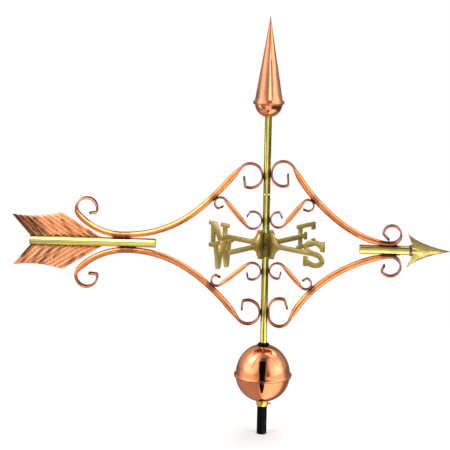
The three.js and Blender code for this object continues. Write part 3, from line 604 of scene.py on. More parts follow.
def makeCollar():
    collar = {"top": 12.85, "foot": 12, "soft": 1.1, "sides": 64}
    foot, top = heights("globe_collar")
    half, bore = (foot + top) / 2, fits["rodBore"]
    profile = [
        [bore, foot], [collar["foot"], foot], [collar["top"], half], [collar["top"], top],
        [bore, top],
    ]
    bm = turned(profile, collar["sides"])
    roundEdges(bm, collar["soft"], segments=4, above=10)
    finished("globeCollar", bm, "mast", ["globe_collar"], brassCollar)
    # its screw stands out of it: a threaded shank and a round head with a recess
    screw = {"end": 18.6, "radius": 2.2, "shank": 1.75, "groove": 0.25, "thread": 0.8,
             "head": 3.4, "headSlope": 0.2, "dome": 0.7, "recess": 0.6, "recessDepth": 1,
             "bearing": -12, "sides": 28}
    end, shank, thread = screw["end"], screw["shank"], screw["thread"]
    neck, dome, headFoot = shank - screw["groove"], screw["dome"], end - screw["head"]
    profile = [[0, bore]]
    for i in range(int((headFoot - bore) / thread)):
        at = bore + i * thread
        profile += [[neck, at], [shank, at + thread / 2]]
    profile += [[neck, headFoot], [screw["radius"], headFoot + screw["headSlope"]]]
    profile += arc([screw["radius"] - dome, end - dome], [dome, dome], 0, 90, steps=4)
    recess, recessFoot = screw["recess"], end - screw["recessDepth"]
    profile += [[recess, end], [recess, recessFoot], [0, recessFoot]]
    bm = turned(profile, screw["sides"])
    layAlongX(bm, half, screw["bearing"])
    finished("globeCollarScrew", bm, "mast", ["globe_collar_screw"], steelScrew)


makeRod()
makeSpindle()
makeGlobe()
makeBushing()
makeCollar()
print("mast made")


# ---- compass castings: the solid's own outline with the soft edges of sand casting

def castPiece(name, node, finish, soft, body, crease=12):
    bm = bmesh.new()
    bm.from_mesh(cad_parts[node].data)
    bmesh.ops.remove_doubles(bm, verts=bm.verts, dist=mergeGap)
    bmesh.ops.dissolve_limit(bm, angle_limit=math.radians(1), verts=bm.verts, edges=bm.edges)
    roundEdges(bm, soft, segments=3, above=crease)
    bmesh.ops.triangulate(bm, faces=[f for f in bm.faces if len(f.verts) > 4])
    return finished(name, bm, body, [node], finish, smooth=40)


def makeCasting(name, node):
    casting = {"soft": 0.7, "shadeX": 4, "shadeY": -13, "darkeningReach": 15}
    piece = castPiece(name, node, brassCast, casting["soft"], "mast")
    foot, top = heights(node)
    # painted shade: the front of the hub is darkened where shade falls between the collars and the
    # webs
    hub = [Vector((x, casting["shadeY"], z)) * mm
           for x in (-casting["shadeX"], casting["shadeX"]) for z in (foot, (foot + top) / 2, top)]
    heated(piece, together(hub, casting["darkeningReach"]))


def hubScrew(name, node):
    screw = {"radius": 2, "from": 5.8, "to": 9.9, "point": 0.5, "socket": 1, "deep": 1.6,
             "soft": 0.2, "sides": 24}
    low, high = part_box(node)
    middle = (low + high) / 2
    radius, start, end = screw["radius"], screw["from"], screw["to"]
    socket, socketFoot = screw["socket"], end - screw["deep"]
    profile = [
        [0, start], [radius - screw["point"], start], [radius, start + screw["point"]],
        [radius, end], [socket, end], [socket, socketFoot], [0, socketFoot],
    ]
    bm = turned(profile, screw["sides"])
    roundEdges(bm, screw["soft"])
    layAlongX(bm, middle.z / mm, math.degrees(math.atan2(middle.y, middle.x)))
    finished(name, bm, "mast", [node], steelScrew)


makeCasting("northSouthCasting", "north_south_casting")
makeCasting("westEastCasting", "west_east_casting")
hubScrew("northSouthScrew", "north_south_screw")
hubScrew("westEastScrew", "west_east_screw")
print("compass made")


# ---- scrolls: round rods hammered flat at their ends

poleRadius = 7.3
shaftRadius = 9.525
mainStock = {"rod": 12.7, "flat": 3.8, "sides": 22}
innerStock = {"rod": 9.5, "flat": 3, "sides": 18}
kinkRadius = 3.5
curlFade = {"before": 6, "after": 30}
tailTaper = {"atShaft": mainStock["rod"], "before": 1, "eyeBefore": 10, "eyeAfter": 27, "lift": 0.6}
headTaper = {"atShaft": 7.5, "before": 40, "eyeBefore": 0, "eyeAfter": 32, "lift": 0.1}
# hook and eye: radius, turn, the kink's turn, the tip's length; belly: radius, turn;
# bend: turn before it, pull, reach along the shaft, pull at the shaft
scrolls = {
    "upperTail": {
        "nodes": ["upper_tail_scroll", "upper_tail_inner_scroll"],
        "end": -1, "side": 1, "taper": tailTaper,
        "main": {"poleHeight": 148, "lay": 0.5, "hook": (25, 109, 63, 19),
                 "bend": (137.5, 90, 301, 130), "belly": (119, 48.5), "eye": (21.8, 239, 67, 12)},
        "inner": {"poleHeight": 54.5, "hook": (18.2, 107, 40, 10), "station": 0.305,
                  "eye": (12.1, 200, 55, 10)},
    },
    "lowerTail": {
        "nodes": ["lower_tail_scroll", "lower_tail_inner_scroll"],
        "end": -1, "side": -1, "taper": tailTaper,
        "main": {"poleHeight": 141.5, "lay": 0.5, "hook": (25, 112, 65, 16),
                 "bend": (143, 159, 289, 55), "belly": (142, 45.5), "eye": (22.5, 229, 80, 15)},
        "inner": {"poleHeight": 53.9, "hook": (17.9, 112, 58, 10), "station": 0.213,
                  "eye": (11.6, 203, 44, 9)},
    },
    "upperHead": {
        "nodes": ["upper_head_scroll", "upper_head_inner_scroll"],
        "end": 1, "side": 1, "taper": headTaper,
        "main": {"poleHeight": 153.5, "lay": 2, "hook": (24, 110, 73, 21),
                 "bend": (151.5, 92, 254, 67), "belly": (100, 5), "eye": (18.6, 256, 54, 16)},
        "inner": {"poleHeight": 56.6, "hook": (16.3, 90, 65, 11), "station": 0.282,
                  "eye": (11.7, 235, 18, 9)},
    },
    "lowerHead": {
        "nodes": ["lower_head_scroll", "lower_head_inner_scroll"],
        "end": 1, "side": -1, "taper": headTaper,
        "main": {"poleHeight": 141, "lay": 7.5, "hook": (22.5, 113, 49, 18),
                 "bend": (155, 120, 258, 32), "belly": (45, 4), "eye": (20.9, 231, 61, 12)},
        "inner": {"poleHeight": 51.8, "hook": (16.4, 96, 71, 11), "station": 0.241,
                  "eye": (11.7, 213, 48, 9)},
    },
}


def polar(length, degrees):
    angle = math.radians(degrees)
    return Vector((length * math.cos(angle), length * math.sin(angle)))


def smooth(value, low, high):
    share = min(1, max(0, (value - low) / (high - low)))
    return share * share * (3 - 2 * share)


class Pen:
    # draws the middle line of a bent rod: x away from the pole, y away from the arrow's axis
    longest, widest, bendSteps = 3, 8, 110  # a step's length and turn, and the steps of a bend

    def __init__(self, start, heading):
        self.points = [Vector(start)]
        self.heading = heading
        self.lengths = []

    def add(self, points):
        row = [self.points[-1]] + points
        self.lengths.append(sum((b - a).length for a, b in zip(row, row[1:])))
        self.points += points
        return self

    def forward(self, length):
        start = self.points[-1]
        count = max(1, math.ceil(length / self.longest))
        return self.add([start + polar(length * i / count, self.heading)
                         for i in range(1, count + 1)])

    def turn(self, radius, angle):
        side = math.copysign(90, angle)
        middle = self.points[-1] + polar(radius, self.heading + side)
        start = self.heading - side
        length = math.radians(abs(angle)) * radius
        count = max(math.ceil(abs(angle) / self.widest), math.ceil(length / self.longest))
        self.heading += angle
        return self.add([middle + polar(radius, start + angle * i / count)
                         for i in range(1, count + 1)])

    def curl(self, radius, angle, kink, tip, way=1):
        return self.turn(radius, angle * way).turn(kinkRadius, kink * way).forward(tip)

    def bendTo(self, end, heading, pullFrom, pullTo):
        start = self.points[-1]
        near, far = start + polar(pullFrom, self.heading), end - polar(pullTo, heading)
        self.bend = [start, near, far, end]
        self.heading = heading
        steps = self.bendSteps
        return self.add([self.onBend(i / steps) for i in range(1, steps + 1)])

    def onBend(self, t):
        a, b, c, d = self.bend
        return (1 - t) ** 3 * a + 3 * (1 - t) ** 2 * t * b + 3 * (1 - t) * t * t * c + t ** 3 * d


def section(stock, thickness):
    # hammering keeps the outline's length: what the rod loses in thickness it gains in width
    width = thickness + (stock["rod"] - thickness) * math.pi / 2
    points = []
    for i in range(stock["sides"]):
        angle = (i + 0.5) * math.tau / stock["sides"]
        flat = math.copysign(width - thickness, math.cos(angle))
        across = (flat + thickness * math.cos(angle)) / 2
        points.append((across, thickness * math.sin(angle) / 2))
    return points


# hammer blows on the flats and the masks that the finish reads
blows = {"spacing": 6.5, "depth": 0.1, "fade": (3, 7), "rodShare": 0.8, "tip": (2, 9),
         "flatMask": 0.6, "tipMask": 0.4, "soft": 0.25}


def bentRod(stock, hookPen, eyePen, marks, end, side, seed):
    row = list(reversed(hookPen.points[1:])) + eyePen.points
    row = [Vector((p.x * end, p.y * side)) for p in row]
    hookLength = sum(hookPen.lengths)
    whole = hookLength + sum(eyePen.lengths)
    rings, worked, reached, total = [], [], -hookLength, 0
    for i, place in enumerate(row):
        before, after = row[max(i - 1, 0)], row[min(i + 1, len(row) - 1)]
        along = ((place - before).normalized() + (after - place).normalized()).normalized()
        reached += (place - before).length
        total += (place - before).length
        size = marks[0][1]
        for low, high in zip(marks, marks[1:]):
            size += (high[1] - low[1]) * smooth(reached, low[0], high[0])
        blow = noise.noise(Vector((reached / blows["spacing"], seed, 0)))
        beaten = blow * blows["depth"] * (1 - smooth(size, *blows["fade"]))
        ring = []
        for across, rise in section(stock, size * (1 + beaten)):
            up = place.y + along.x * rise + arrowHeight
            ring.append(Vector((place.x - along.y * rise, across, up)) * mm)
        rings.append(ring)
        flatness = 1 - smooth(size, stock["flat"], stock["rod"] * blows["rodShare"])
        tip = 1 - smooth(min(total, whole - total), *blows["tip"])
        worked.append(blows["flatMask"] * flatness + blows["tipMask"] * tip)
    bm = skin(rings, total * mm, stock["rod"] * math.pi * mm, worked)
    roundEdges(bm, blows["soft"], above=60)
    return bm


def mainRod(scroll):
    main, taper = scroll["main"], scroll["taper"]
    rod, flat, atShaft = mainStock["rod"], mainStock["flat"], taper["atShaft"]
    contact = (poleRadius + fits["seat"] + flat / 2, main["poleHeight"])
    leave, pull, reach, shaftPull = main["bend"]
    shaftTouch = Vector((reach, shaftRadius + fits["seat"] + atShaft / 2))
    hookPen = Pen(contact, -90).forward(main["lay"]).curl(*main["hook"])
    eyePen = Pen(contact, 90).forward(main["lay"]).turn(main["hook"][0], -leave)
    eyePen.bendTo(shaftTouch, 0, pull, shaftPull).turn(*main["belly"]).curl(*main["eye"])
    bend = sum(eyePen.lengths[:2])
    touch = bend + eyePen.lengths[2]
    eye = touch + eyePen.lengths[3]
    marks = [
        (bend - curlFade["before"], flat), (bend + curlFade["after"], rod),
        (touch - taper["before"], rod), (touch, atShaft),
        (eye - taper["eyeBefore"], atShaft), (eye + taper["eyeAfter"], flat),
    ]
    return hookPen, eyePen, marks, contact, shaftTouch


def innerRod(scroll, mainEye):
    inner = scroll["inner"]
    rod, flat, seat = innerStock["rod"], innerStock["flat"], fits["seat"]
    hookRadius, eyeRadius, mainRadius = inner["hook"][0], inner["eye"][0], mainStock["rod"] / 2
    contact = Vector((poleRadius + seat + flat / 2, inner["poleHeight"]))
    touching = mainEye.onBend(inner["station"])
    beyond = mainEye.onBend(inner["station"] + 0.001)
    ahead = (beyond - touching).normalized()
    inward = Vector((ahead.y, -ahead.x))
    eyeMiddle = touching + inward * (mainRadius + seat + flat / 2 + eyeRadius)
    across = eyeMiddle - Vector((contact.x + hookRadius, contact.y))
    radii = hookRadius + eyeRadius
    climb = math.degrees(math.atan2(across.y, across.x) + math.asin(radii / across.length))
    straight = math.sqrt(across.length_squared - radii ** 2)
    hookPen = Pen(contact, 90).curl(*inner["hook"], way=-1)
    eyePen = Pen(contact, -90).turn(hookRadius, 90 + climb).forward(straight)
    eyePen.curl(*inner["eye"], way=-1)
    start = eyePen.lengths[0]
    end = start + straight
    marks = [
        (start - rod, flat), (start + 2 * rod, rod), (end - 2 * rod, rod), (end + rod / 2, flat),
    ]
    joint = touching + inward * (mainRadius + seat / 2)
    return hookPen, eyePen, marks, contact, joint, ahead


def bead(start, end, radius, seed):
    # a short run of braze, lumpy and thin at its ends
    values = {"steps": 24, "sides": 10, "end": 0.03, "ripple": 0.18, "turns": 2.6, "lump": 0.25}
    span = end - start
    along = span.normalized()
    across = along.orthogonal().normalized()
    rise = along.cross(across)
    rings = []
    for i in range(values["steps"] + 1):
        share = i / values["steps"]
        swell = math.sin(math.pi * min(1 - values["end"], max(values["end"], share))) ** 0.5
        ripple = 1 + values["ripple"] * math.sin(share * span.length / mm * values["turns"])
        ripple += values["lump"] * noise.noise(Vector((share * 5, seed, 3)))
        size = radius * mm * swell * ripple
        rings.append(ringOf(start + span * share, across, rise, size, values["sides"]))
    return skin(rings, span.length, radius * math.tau * mm)


def joined(parts):
    whole = bmesh.new()
    for part in parts:
        mesh = meshOf("part", part)
        whole.from_mesh(mesh)
        bpy.data.meshes.remove(mesh)
    return whole


poleSpots, shaftSpots = [], []
# how far the torch marks, with painted shade round the contacts, reached at the joints, and the
# beads: half length, offset to a side, radius
braze = {"mainReach": 20, "innerReach": 17, "shaftStep": 10, "poleX": 6.7,
         "pole": (9, 4.2, 1.3), "innerPole": (7, 4.2, 1.3), "shaft": (21, 20, 4.2, 1.5),
         "eye": (7, 3.2, 1.2)}


def makeScroll(name, scroll):
    end, side, taper = scroll["end"], scroll["side"], scroll["taper"]
    seed = len(poleSpots)

    def inWorld(point, y=0):
        return Vector((point[0] * end, y, arrowHeight + point[1] * side)) * mm

    def rodPiece(kind, stock, node, pens, shift, joints, reach):
        bm = bentRod(stock, *pens, end, side, seed + shift)
        piece = finished(name + kind, bm, "vane", [node], copperRod, smooth=50)
        # torch marks at the joints, and painted shade where the rods meet the pole, the shaft and
        # each other
        heated(piece, together(joints, reach))

    hookPen, eyePen, marks, contact, shaftTouch = mainRod(scroll)
    innerHook, innerEye, innerMarks, innerContact, joint, ahead = innerRod(scroll, eyePen)
    poleJoint, innerPole = [inWorld((poleRadius, spot[1])) for spot in (contact, innerContact)]
    shaftJoint, eyeJoint = inWorld((shaftTouch.x, shaftRadius)), inWorld(joint)
    along = Vector((braze["shaftStep"] * mm, 0, 0))
    mainJoints = [poleJoint, eyeJoint, shaftJoint, shaftJoint - along, shaftJoint + along]
    rodPiece("Scroll", mainStock, scroll["nodes"][0], (hookPen, eyePen, marks), 0,
             mainJoints, braze["mainReach"])
    rodPiece("InnerScroll", innerStock, scroll["nodes"][1], (innerHook, innerEye, innerMarks), 9,
             [innerPole, eyeJoint], braze["innerReach"])
    poleSpots.extend([poleJoint, innerPole])
    shaftSpots.append(shaftJoint)
    # braze in the corners between the rods, the pole and the shaft; its dark finish is partly
    # painted shade in these corners
    runs = []
    for middle, (half, offset, radius) in ((contact[1], braze["pole"]),
                                           (innerContact.y, braze["innerPole"])):
        low, high = (braze["poleX"], middle - half), (braze["poleX"], middle + half)
        runs.append((low, high, offset, radius, 0))
    (back, on, offset, radius), lift = braze["shaft"], shaftRadius + taper["lift"]
    runs.append(((shaftTouch.x - back, lift), (shaftTouch.x + on, lift), offset, radius, 1))
    half, offset, radius = braze["eye"]
    runs.append((joint - ahead * half, joint + ahead * half, offset, radius, 2))
    parts = [bead(inWorld(start, y), inWorld(stop, y), radius, seed + y + shift)
             for start, stop, offset, radius, shift in runs for y in (-offset, offset)]
    finished(name + "Braze", joined(parts), "vane", [], brazeAndShadeMetal, smooth=60)


for scrollName, scrollValues in scrolls.items():
    makeScroll(scrollName, scrollValues)
print("scrolls made")


# ---- upright tubes, plug and finial

tubing = {"step": 4, "lip": 0.35, "dent": 0.05}


def tubeMesh(radius, bore, start, end, sides):
    profile = line([radius, start], [radius, end], tubing["step"]) + [[bore, end], [bore, start]]
    bm = turned(profile, sides)
    roundEdges(bm, tubing["lip"], above=60)
    return bm


def makeTube(name, node, seed):
    tube = {"bore": 6.1, "sides": 48, "dentSpread": 26, "darkeningReach": 17}
    bm = tubeMesh(poleRadius, tube["bore"], *heights(node), tube["sides"])
    dent(bm, tubing["dent"], tube["dentSpread"], seed)
    piece = finished(name, bm, "vane", [node], brassPole)
    # torch marks where the scrolls are brazed on, and painted shade where they touch the pole
    heated(piece, together(poleSpots, tube["darkeningReach"]))


def makePlug():
    plug = {"radius": 5.8, "seatMouth": 3.6, "soft": 0.2, "sides": 40}
    foot, top = heights("pivot_plug")
    radius, mouth = plug["radius"], plug["seatMouth"]
    profile = [[0, foot + mouth], [mouth, foot], [radius, foot], [radius, top], [0, top]]
    bm = turned(profile, plug["sides"])
    roundEdges(bm, plug["soft"])
    finished("pivotPlug", bm, "vane", ["pivot_plug"], brassPole)


finial = {
    "rim": 707.5, "cone": 28.9, "length": 175, "wall": 0.9, "bead": 2.1, "cup": 28.6,
    "cupDepth": 28, "flangeDrop": 2.4, "flange": 0.9,
}


def makeCone():
    cone = {
        "sides": 192, "tip": 0.55, "tipDrop": 0.6, "neck": 0.9, "neckDrop": 5, "step": 6,
        "lipShare": 0.7,  # how far the wall's inside reaches below the rim, of the bead's radius
        # the lap of the rolled sheet: bearing of the seam, height, turn and rise of its fading
        "seam": 16, "lap": 0.45, "lapTurn": (0, 34), "lapRise": (90, 150),
        # how far the side is out of round, and where that sets in and ends
        "wave": 0.35, "waveTurn": 1.6, "waveRise": 70, "drawnIn": 0.2, "ease": (4, 16),
        "topDrop": 8, "calmWithin": 4, "apexReach": 24,
        # brown stains: bearing, height from and to, reach, strength; the first follows the seam
        "stains": [(16, 6, 90, 3.4, 0.95), (-58, 4, 18, 15, 0.75), (-40, 30, 56, 8, 0.5),
                   (44, 14, 62, 7, 0.5), (76, 30, 130, 7, 0.7), (-20, 4, 110, 5, 0.42),
                   (150, 4, 60, 14, 0.6), (-130, 20, 50, 12, 0.6)],
    }
    rim, radius, length = finial["rim"], finial["cone"], finial["length"]
    wall, beadRadius = finial["wall"], finial["bead"]
    tipHeight = rim + length
    apexDrop = wall * math.hypot(radius, length) / radius
    neck = [cone["neck"], tipHeight - cone["neckDrop"]]
    side = line([radius, rim + beadRadius], neck, cone["step"])
    profile = [[0, tipHeight], [cone["tip"], tipHeight - cone["tipDrop"]]] + side[::-1]
    profile += rolledEdge(radius, rim, wall, beadRadius, steps=12)
    profile += [[radius - wall, rim - beadRadius * cone["lipShare"]], [0, tipHeight - apexDrop]]
    bm = turned(profile, cone["sides"])
    # the sheet is rolled up: it laps at a seam, and its side is not quite round
    for vert in bm.verts:
        x, y, up = vert.co.x, vert.co.y, vert.co.z / mm - rim
        here = math.hypot(x, y)
        if here < mergeGap or up < cone["ease"][0] or up > length - cone["topDrop"]:
            continue
        bearing = math.degrees(math.atan2(x, -y)) - cone["seam"]
        lap = cone["lap"] * (1 - smooth(bearing % 360, *cone["lapTurn"]))
        lap *= 1 - smooth(up, *cone["lapRise"])
        turn = cone["waveTurn"]
        spot = Vector((x / here * turn, y / here * turn, up / cone["waveRise"]))
        wave = cone["wave"] * noise.noise(spot)
        out = (lap - cone["drawnIn"] + wave) * mm * smooth(up, *cone["ease"])
        scale = 1 + out / max(here, cone["calmWithin"] * mm)
        vert.co.x *= scale
        vert.co.y *= scale
    piece = finished("finialCone", bm, "vane", ["finial_cone"], copperCone,
                     smooth=40)

    def onSide(degrees, up):
        out, bearing = radius * (1 - up / length), math.radians(degrees)
        return Vector((math.sin(bearing) * out, -math.cos(bearing) * out, rim + up)) * mm

    stains = [(onSide(bearing, low), onSide(bearing, high), reach, strength)
              for bearing, low, high, reach, strength in cone["stains"]]
    heated(piece, together([Vector((0, 0, tipHeight)) * mm], cone["apexReach"]) + stains)


def makeCup():
    cup = {"dent": 0.2, "dentSpread": 20, "soft": 0.2, "sides": 96}
    rim, radius, wall, depth = finial["rim"], finial["cup"], finial["wall"], finial["cupDepth"]
    top, mouth = rim - finial["flangeDrop"], poleRadius + fits["seat"]
    foot = top - finial["flange"]
    reach = finial["cone"] + finial["bead"] - wall / 2 + finial["bead"] * flangeShare
    inner = radius - wall
    profile = arc([0, foot], [radius, depth], -math.degrees(math.acos(mouth / radius)), 0, steps=24)
    profile += [[reach, foot], [reach, top], [inner, top]]
    innerEnd = -math.degrees(math.acos(mouth / inner))
    profile += arc([0, foot], [inner, depth - wall], 0, innerEnd, steps=18)
    bm = turned(profile, cup["sides"])
    dent(bm, cup["dent"], cup["dentSpread"], 5)
    roundEdges(bm, cup["soft"], above=60)
    finished("finialCup", bm, "vane", ["finial_cup"], copperSpun, smooth=50)


makeTube("lowerTube", "lower_tube", 1)
makeTube("upperTube", "upper_tube", 2)
makeTube("finialTube", "finial_tube", 3)
makePlug()
makeCone()
makeCup()
print("tubes and finial made")


# ---- arrow: shafts, fletching, head

def makeShaft(name, node, seed):
    shaft = {"wall": 1.5, "sides": 56, "dentSpread": 30, "darkeningStep": 12, "darkeningReach": 13}
    bm = tubeMesh(shaftRadius, shaftRadius - shaft["wall"], *reaches(node), shaft["sides"])
    layAlongX(bm)
    dent(bm, tubing["dent"], shaft["dentSpread"], seed)
    piece = finished(name, bm, "vane", [node], brassShaft)
    # torch marks where the scrolls are brazed on, and painted shade where they touch the shaft
    spots = [spot + Vector((i * shaft["darkeningStep"] * mm, 0, 0)) for spot in shaftSpots
             for i in (-1, 0, 1)]
    heated(piece, together(spots, shaft["darkeningReach"]))


feather = {
    "pleats": 9, "depth": 4.6, "flat": 0.2, "sheet": 0.9, "inset": 2, "root": 151, "rake": 36,
    "trailHeight": 54, "leadReach": 68, "leadHeight": 61, "sag": 12, "shaftEnd": -494,
    "perPleat": 12, "rows": 24, "map": (0.16, 0.075), "uneven": 0.16, "warp": 0.7,
    "unevenSteps": (1.7, 1.3), "warpSteps": (5, 2),
    "brazeStep": 6, "brazeEnd": 156, "rootDarkeningReach": 7,
    # streaks along the pleats, partly burnt by the torch and partly painted shade of the bent
    # sheet: place on the shaft, height from and to, reach, strength
    "scorched": {
        1: [(0, 9, 62, 16, 1.0), (9, 9, 58, 12, 0.9), (17, 9, 62, 14, 0.8), (26, 12, 60, 11, 0.95),
            (34, 9, 44, 10, 0.85), (41, 9, 62, 8, 0.6), (66, 20, 52, 5, 0.62), (93, 9, 44, 6, 0.75),
            (119, 12, 50, 5, 0.62), (134, 9, 24, 8, 0.8)],
        -1: [(2, 9, 32, 11, 1.0), (11, 9, 56, 6, 0.75), (33, 9, 48, 6, 0.8), (52, 14, 58, 7, 0.85),
             (70, 9, 36, 6, 0.7), (112, 36, 60, 9, 0.75), (128, 30, 48, 8, 0.7)],
    },
    "scorchFoot": 9,
}


def pleatWave(along):
    # one pleat is a flat crest, a slope, a flat foot and a slope back
    share = along % 1
    flat, half = feather["flat"], feather["depth"] / 2
    up, down = 0.5 - flat, 1 - flat
    if share < up:
        return -half + 2 * half * share / up
    if share < 0.5:
        return half
    if share < down:
        return half - 2 * half * (share - 0.5) / (down - 0.5)
    return -half


def makeFeather(name, node, side):
    f = feather
    bm = bmesh.new()
    columns, rootHeight = f["pleats"] * f["perPleat"], shaftRadius + fits["seat"]
    mappedGrid(bm, "sheetMap", columns, f["rows"], *f["map"])
    rootFrom, rootTo = Vector((f["inset"], rootHeight)), Vector((f["root"], rootHeight))
    outerFrom = Vector((-f["rake"], f["trailHeight"]))
    outerTo = Vector((f["leadReach"], f["leadHeight"]))
    pull = (outerFrom + outerTo) / 2 - Vector((0, f["sag"]))
    (acrossStep, outStep), (alongWarp, outWarp) = f["unevenSteps"], f["warpSteps"]
    for index, vert in enumerate(bm.verts):
        row, column = divmod(index, columns + 1)
        along, out = column / columns, row / f["rows"]
        edge = (1 - along) ** 2 * outerFrom + 2 * (1 - along) * along * pull + along ** 2 * outerTo
        spot = rootFrom.lerp(rootTo, along).lerp(edge, out)
        pleat = along * f["pleats"]
        uneven = noise.noise(Vector((math.floor(pleat) * acrossStep, out * outStep, side)))
        warp = noise.noise(Vector((along * alongWarp, out * outWarp, 4 + side)))
        y = pleatWave(pleat) * (1 + f["uneven"] * uneven) + f["warp"] * warp * out
        vert.co = Vector((f["shaftEnd"] + spot.x, y, arrowHeight + side * spot.y)) * mm
    piece = finished(name, bm, "vane", [node], copperSheet, smooth=12)
    solid = piece.modifiers.new("sheet", "SOLIDIFY")
    solid.thickness, solid.offset = f["sheet"] * mm, 0

    def onSheet(root, out):
        lean = (out - f["scorchFoot"]) * math.tan(math.radians(f["rake"]))
        return Vector((f["shaftEnd"] + root - lean, 0, arrowHeight + side * out)) * mm

    # darkening along the root: the braze, and painted shade of the gap under the pleats
    joints = [onSheet(x, shaftRadius) for x in range(0, f["brazeEnd"], f["brazeStep"])]
    streaks = [(onSheet(root, low), onSheet(root, high), reach, strength)
               for root, low, high, reach, strength in f["scorched"][side]]
    heated(piece, together(joints, f["rootDarkeningReach"]) + streaks)
    makeSolder(name + "Solder", rootFrom, rootTo, columns, side)


def makeSolder(name, rootFrom, rootTo, steps, side):
    # solder under the fletching's root, in and out with the pleats; its dark finish is partly
    # painted shade of the gap under the pleats
    solder = {"swing": 0.8, "lift": 0.25, "size": 0.75, "lump": 0.3, "lumpStep": 0.6, "sides": 8,
              "map": (0.15, 0.005)}
    rings = []
    for i in range(steps + 1):
        along = i / steps
        y = pleatWave(along * feather["pleats"]) * solder["swing"]
        up = math.sqrt(shaftRadius ** 2 - y ** 2) + solder["lift"]
        x = feather["shaftEnd"] + rootFrom.lerp(rootTo, along).x
        lump = noise.noise(Vector((i * solder["lumpStep"], side, 1)))
        size = solder["size"] * (1 + solder["lump"] * lump)
        middle = Vector((x, y, arrowHeight + side * up)) * mm
        across, rise = Vector((0, 1, 0)), Vector((0, 0, 1))
        rings.append(ringOf(middle, across, rise, size * mm, solder["sides"]))
    finished(name, skin(rings, *solder["map"]), "vane", [], brazeAndShadeMetal, smooth=60)


def makeHead():
    head = {"soft": 0.35, "crease": 20, "darkWithin": 2.8}
    piece = castPiece("arrowhead", "arrowhead", brassHead, head["soft"], "vane",
                      head["crease"])
    # the casting is dark along its thin edges
    scorchAndShade(piece, lambda point: 1 - abs(point.y) / (head["darkWithin"] * mm))
    ring = {"radius": 11.2, "bore": 9.825, "round": 0.8, "sides": 56}
    start, end = reaches("arrowhead_ring")
    curve, bore = ring["round"], ring["bore"]
    across = ring["radius"] - curve
    outer = arc([across, start + curve], [curve, curve], -90, 0, steps=5)
    outer += arc([across, end - curve], [curve, curve], 0, 90, steps=5)
    bm = turned([[bore, start]] + outer + [[bore, end]], ring["sides"])
    layAlongX(bm)
    finished("arrowheadRing", bm, "vane", ["arrowhead_ring"], copperBand,
             smooth=50)


makeShaft("tailShaft", "tail_shaft", 4)
makeShaft("headShaft", "head_shaft", 6)
makeFeather("upperFletching", "upper_fletching", 1)
makeFeather("lowerFletching", "lower_fletching", -1)
makeHead()
print("arrow made")


# ---- studio: floor, cards, lamps, world, camera (places and sizes here are in metres)

floorGap = {"cloth": 0.001, "wedge": 0.002}


def softBox(tree, facing, bearing, height, inner, outer, strength):
    # a round glow in one direction; bearing 0 is the camera's side and 90 is the right
    b, h = math.radians(bearing), math.radians(height)
    towards = (math.sin(b) * math.cos(h), -math.cos(b) * math.cos(h), math.sin(h))
    dot = vectorCalc(tree, "DOT_PRODUCT", facing, towards)["Value"]
    far, near = math.cos(math.radians(outer)), math.cos(math.radians(inner))
    return between(tree, dot, far, near, strength)


def withGlows(tree, tone, facing, glows):
    for glow in glows:
        tone = calc(tree, "ADD", softBox(tree, facing, *glow), tone)
    return tone


def darkGap(tree, facing, bearing, half, low, high):
    # an upright dark slot in the sky, soft at its foot and top: 0.15 inside it and 1 outside
    gap = {"softFoot": 14, "softTop": 5, "ahead": 0.1, "depth": 0.85}
    b, width = math.radians(bearing), math.sin(math.radians(half))
    across = vectorCalc(tree, "DOT_PRODUCT", facing, (math.cos(b), math.sin(b), 0))["Value"]
    ahead = vectorCalc(tree, "DOT_PRODUCT", facing, (math.sin(b), -math.cos(b), 0))["Value"]
    up = put(tree, "SeparateXYZ", {0: facing}).outputs["Z"]
    inside = between(tree, calc(tree, "ABSOLUTE", across), width, width * 0.5)
    inside = times(tree, between(tree, ahead, 0.0, gap["ahead"]), inside)
    for edge, fade in ((low, gap["softFoot"]), (high, -gap["softTop"])):
        start, end = [math.sin(math.radians(angle)) for angle in (edge, edge + fade)]
        inside = times(tree, between(tree, up, start, end), inside)
    return calc(tree, "MULTIPLY_ADD", inside, -gap["depth"], 1.0)


def cardAcross(*rows):
    # four corners from two rows: how far towards the camera, height, half width
    return [(side * half, -away, up) for away, up, half in rows for side in (-1, 1)]


def cardMesh(name, corners):
    # a flat card through four corners: near left, near right, far left, far right
    bm = bmesh.new()
    mappedGrid(bm, "cardMap", 1, 1)
    for vert, corner in zip(bm.verts, corners):
        vert.co = corner
    return meshOf(name, bm)


def stageCard(name, mesh, material):
    # cards stand only in what the metal mirrors
    mesh.materials.append(material)
    card = placed(name, mesh)
    card.visible_camera = card.visible_diffuse = False
    card.visible_shadow = card.visible_transmission = False


def emission(tree, strength):
    return put(tree, "Emission", {"Strength": strength}).outputs[0]


def mixed(tree, mask, a, b):
    return put(tree, "MixShader", {0: mask, 1: a, 2: b}).outputs[0]


def fromMiddle(tree):
    # distance and direction of a point of a card or the floor from the foot of the mast
    spot = put(tree, "TexCoord").outputs["Object"]
    towards = vectorCalc(tree, "NORMALIZE", spot)["Vector"]
    return vectorCalc(tree, "LENGTH", spot)["Value"], towards


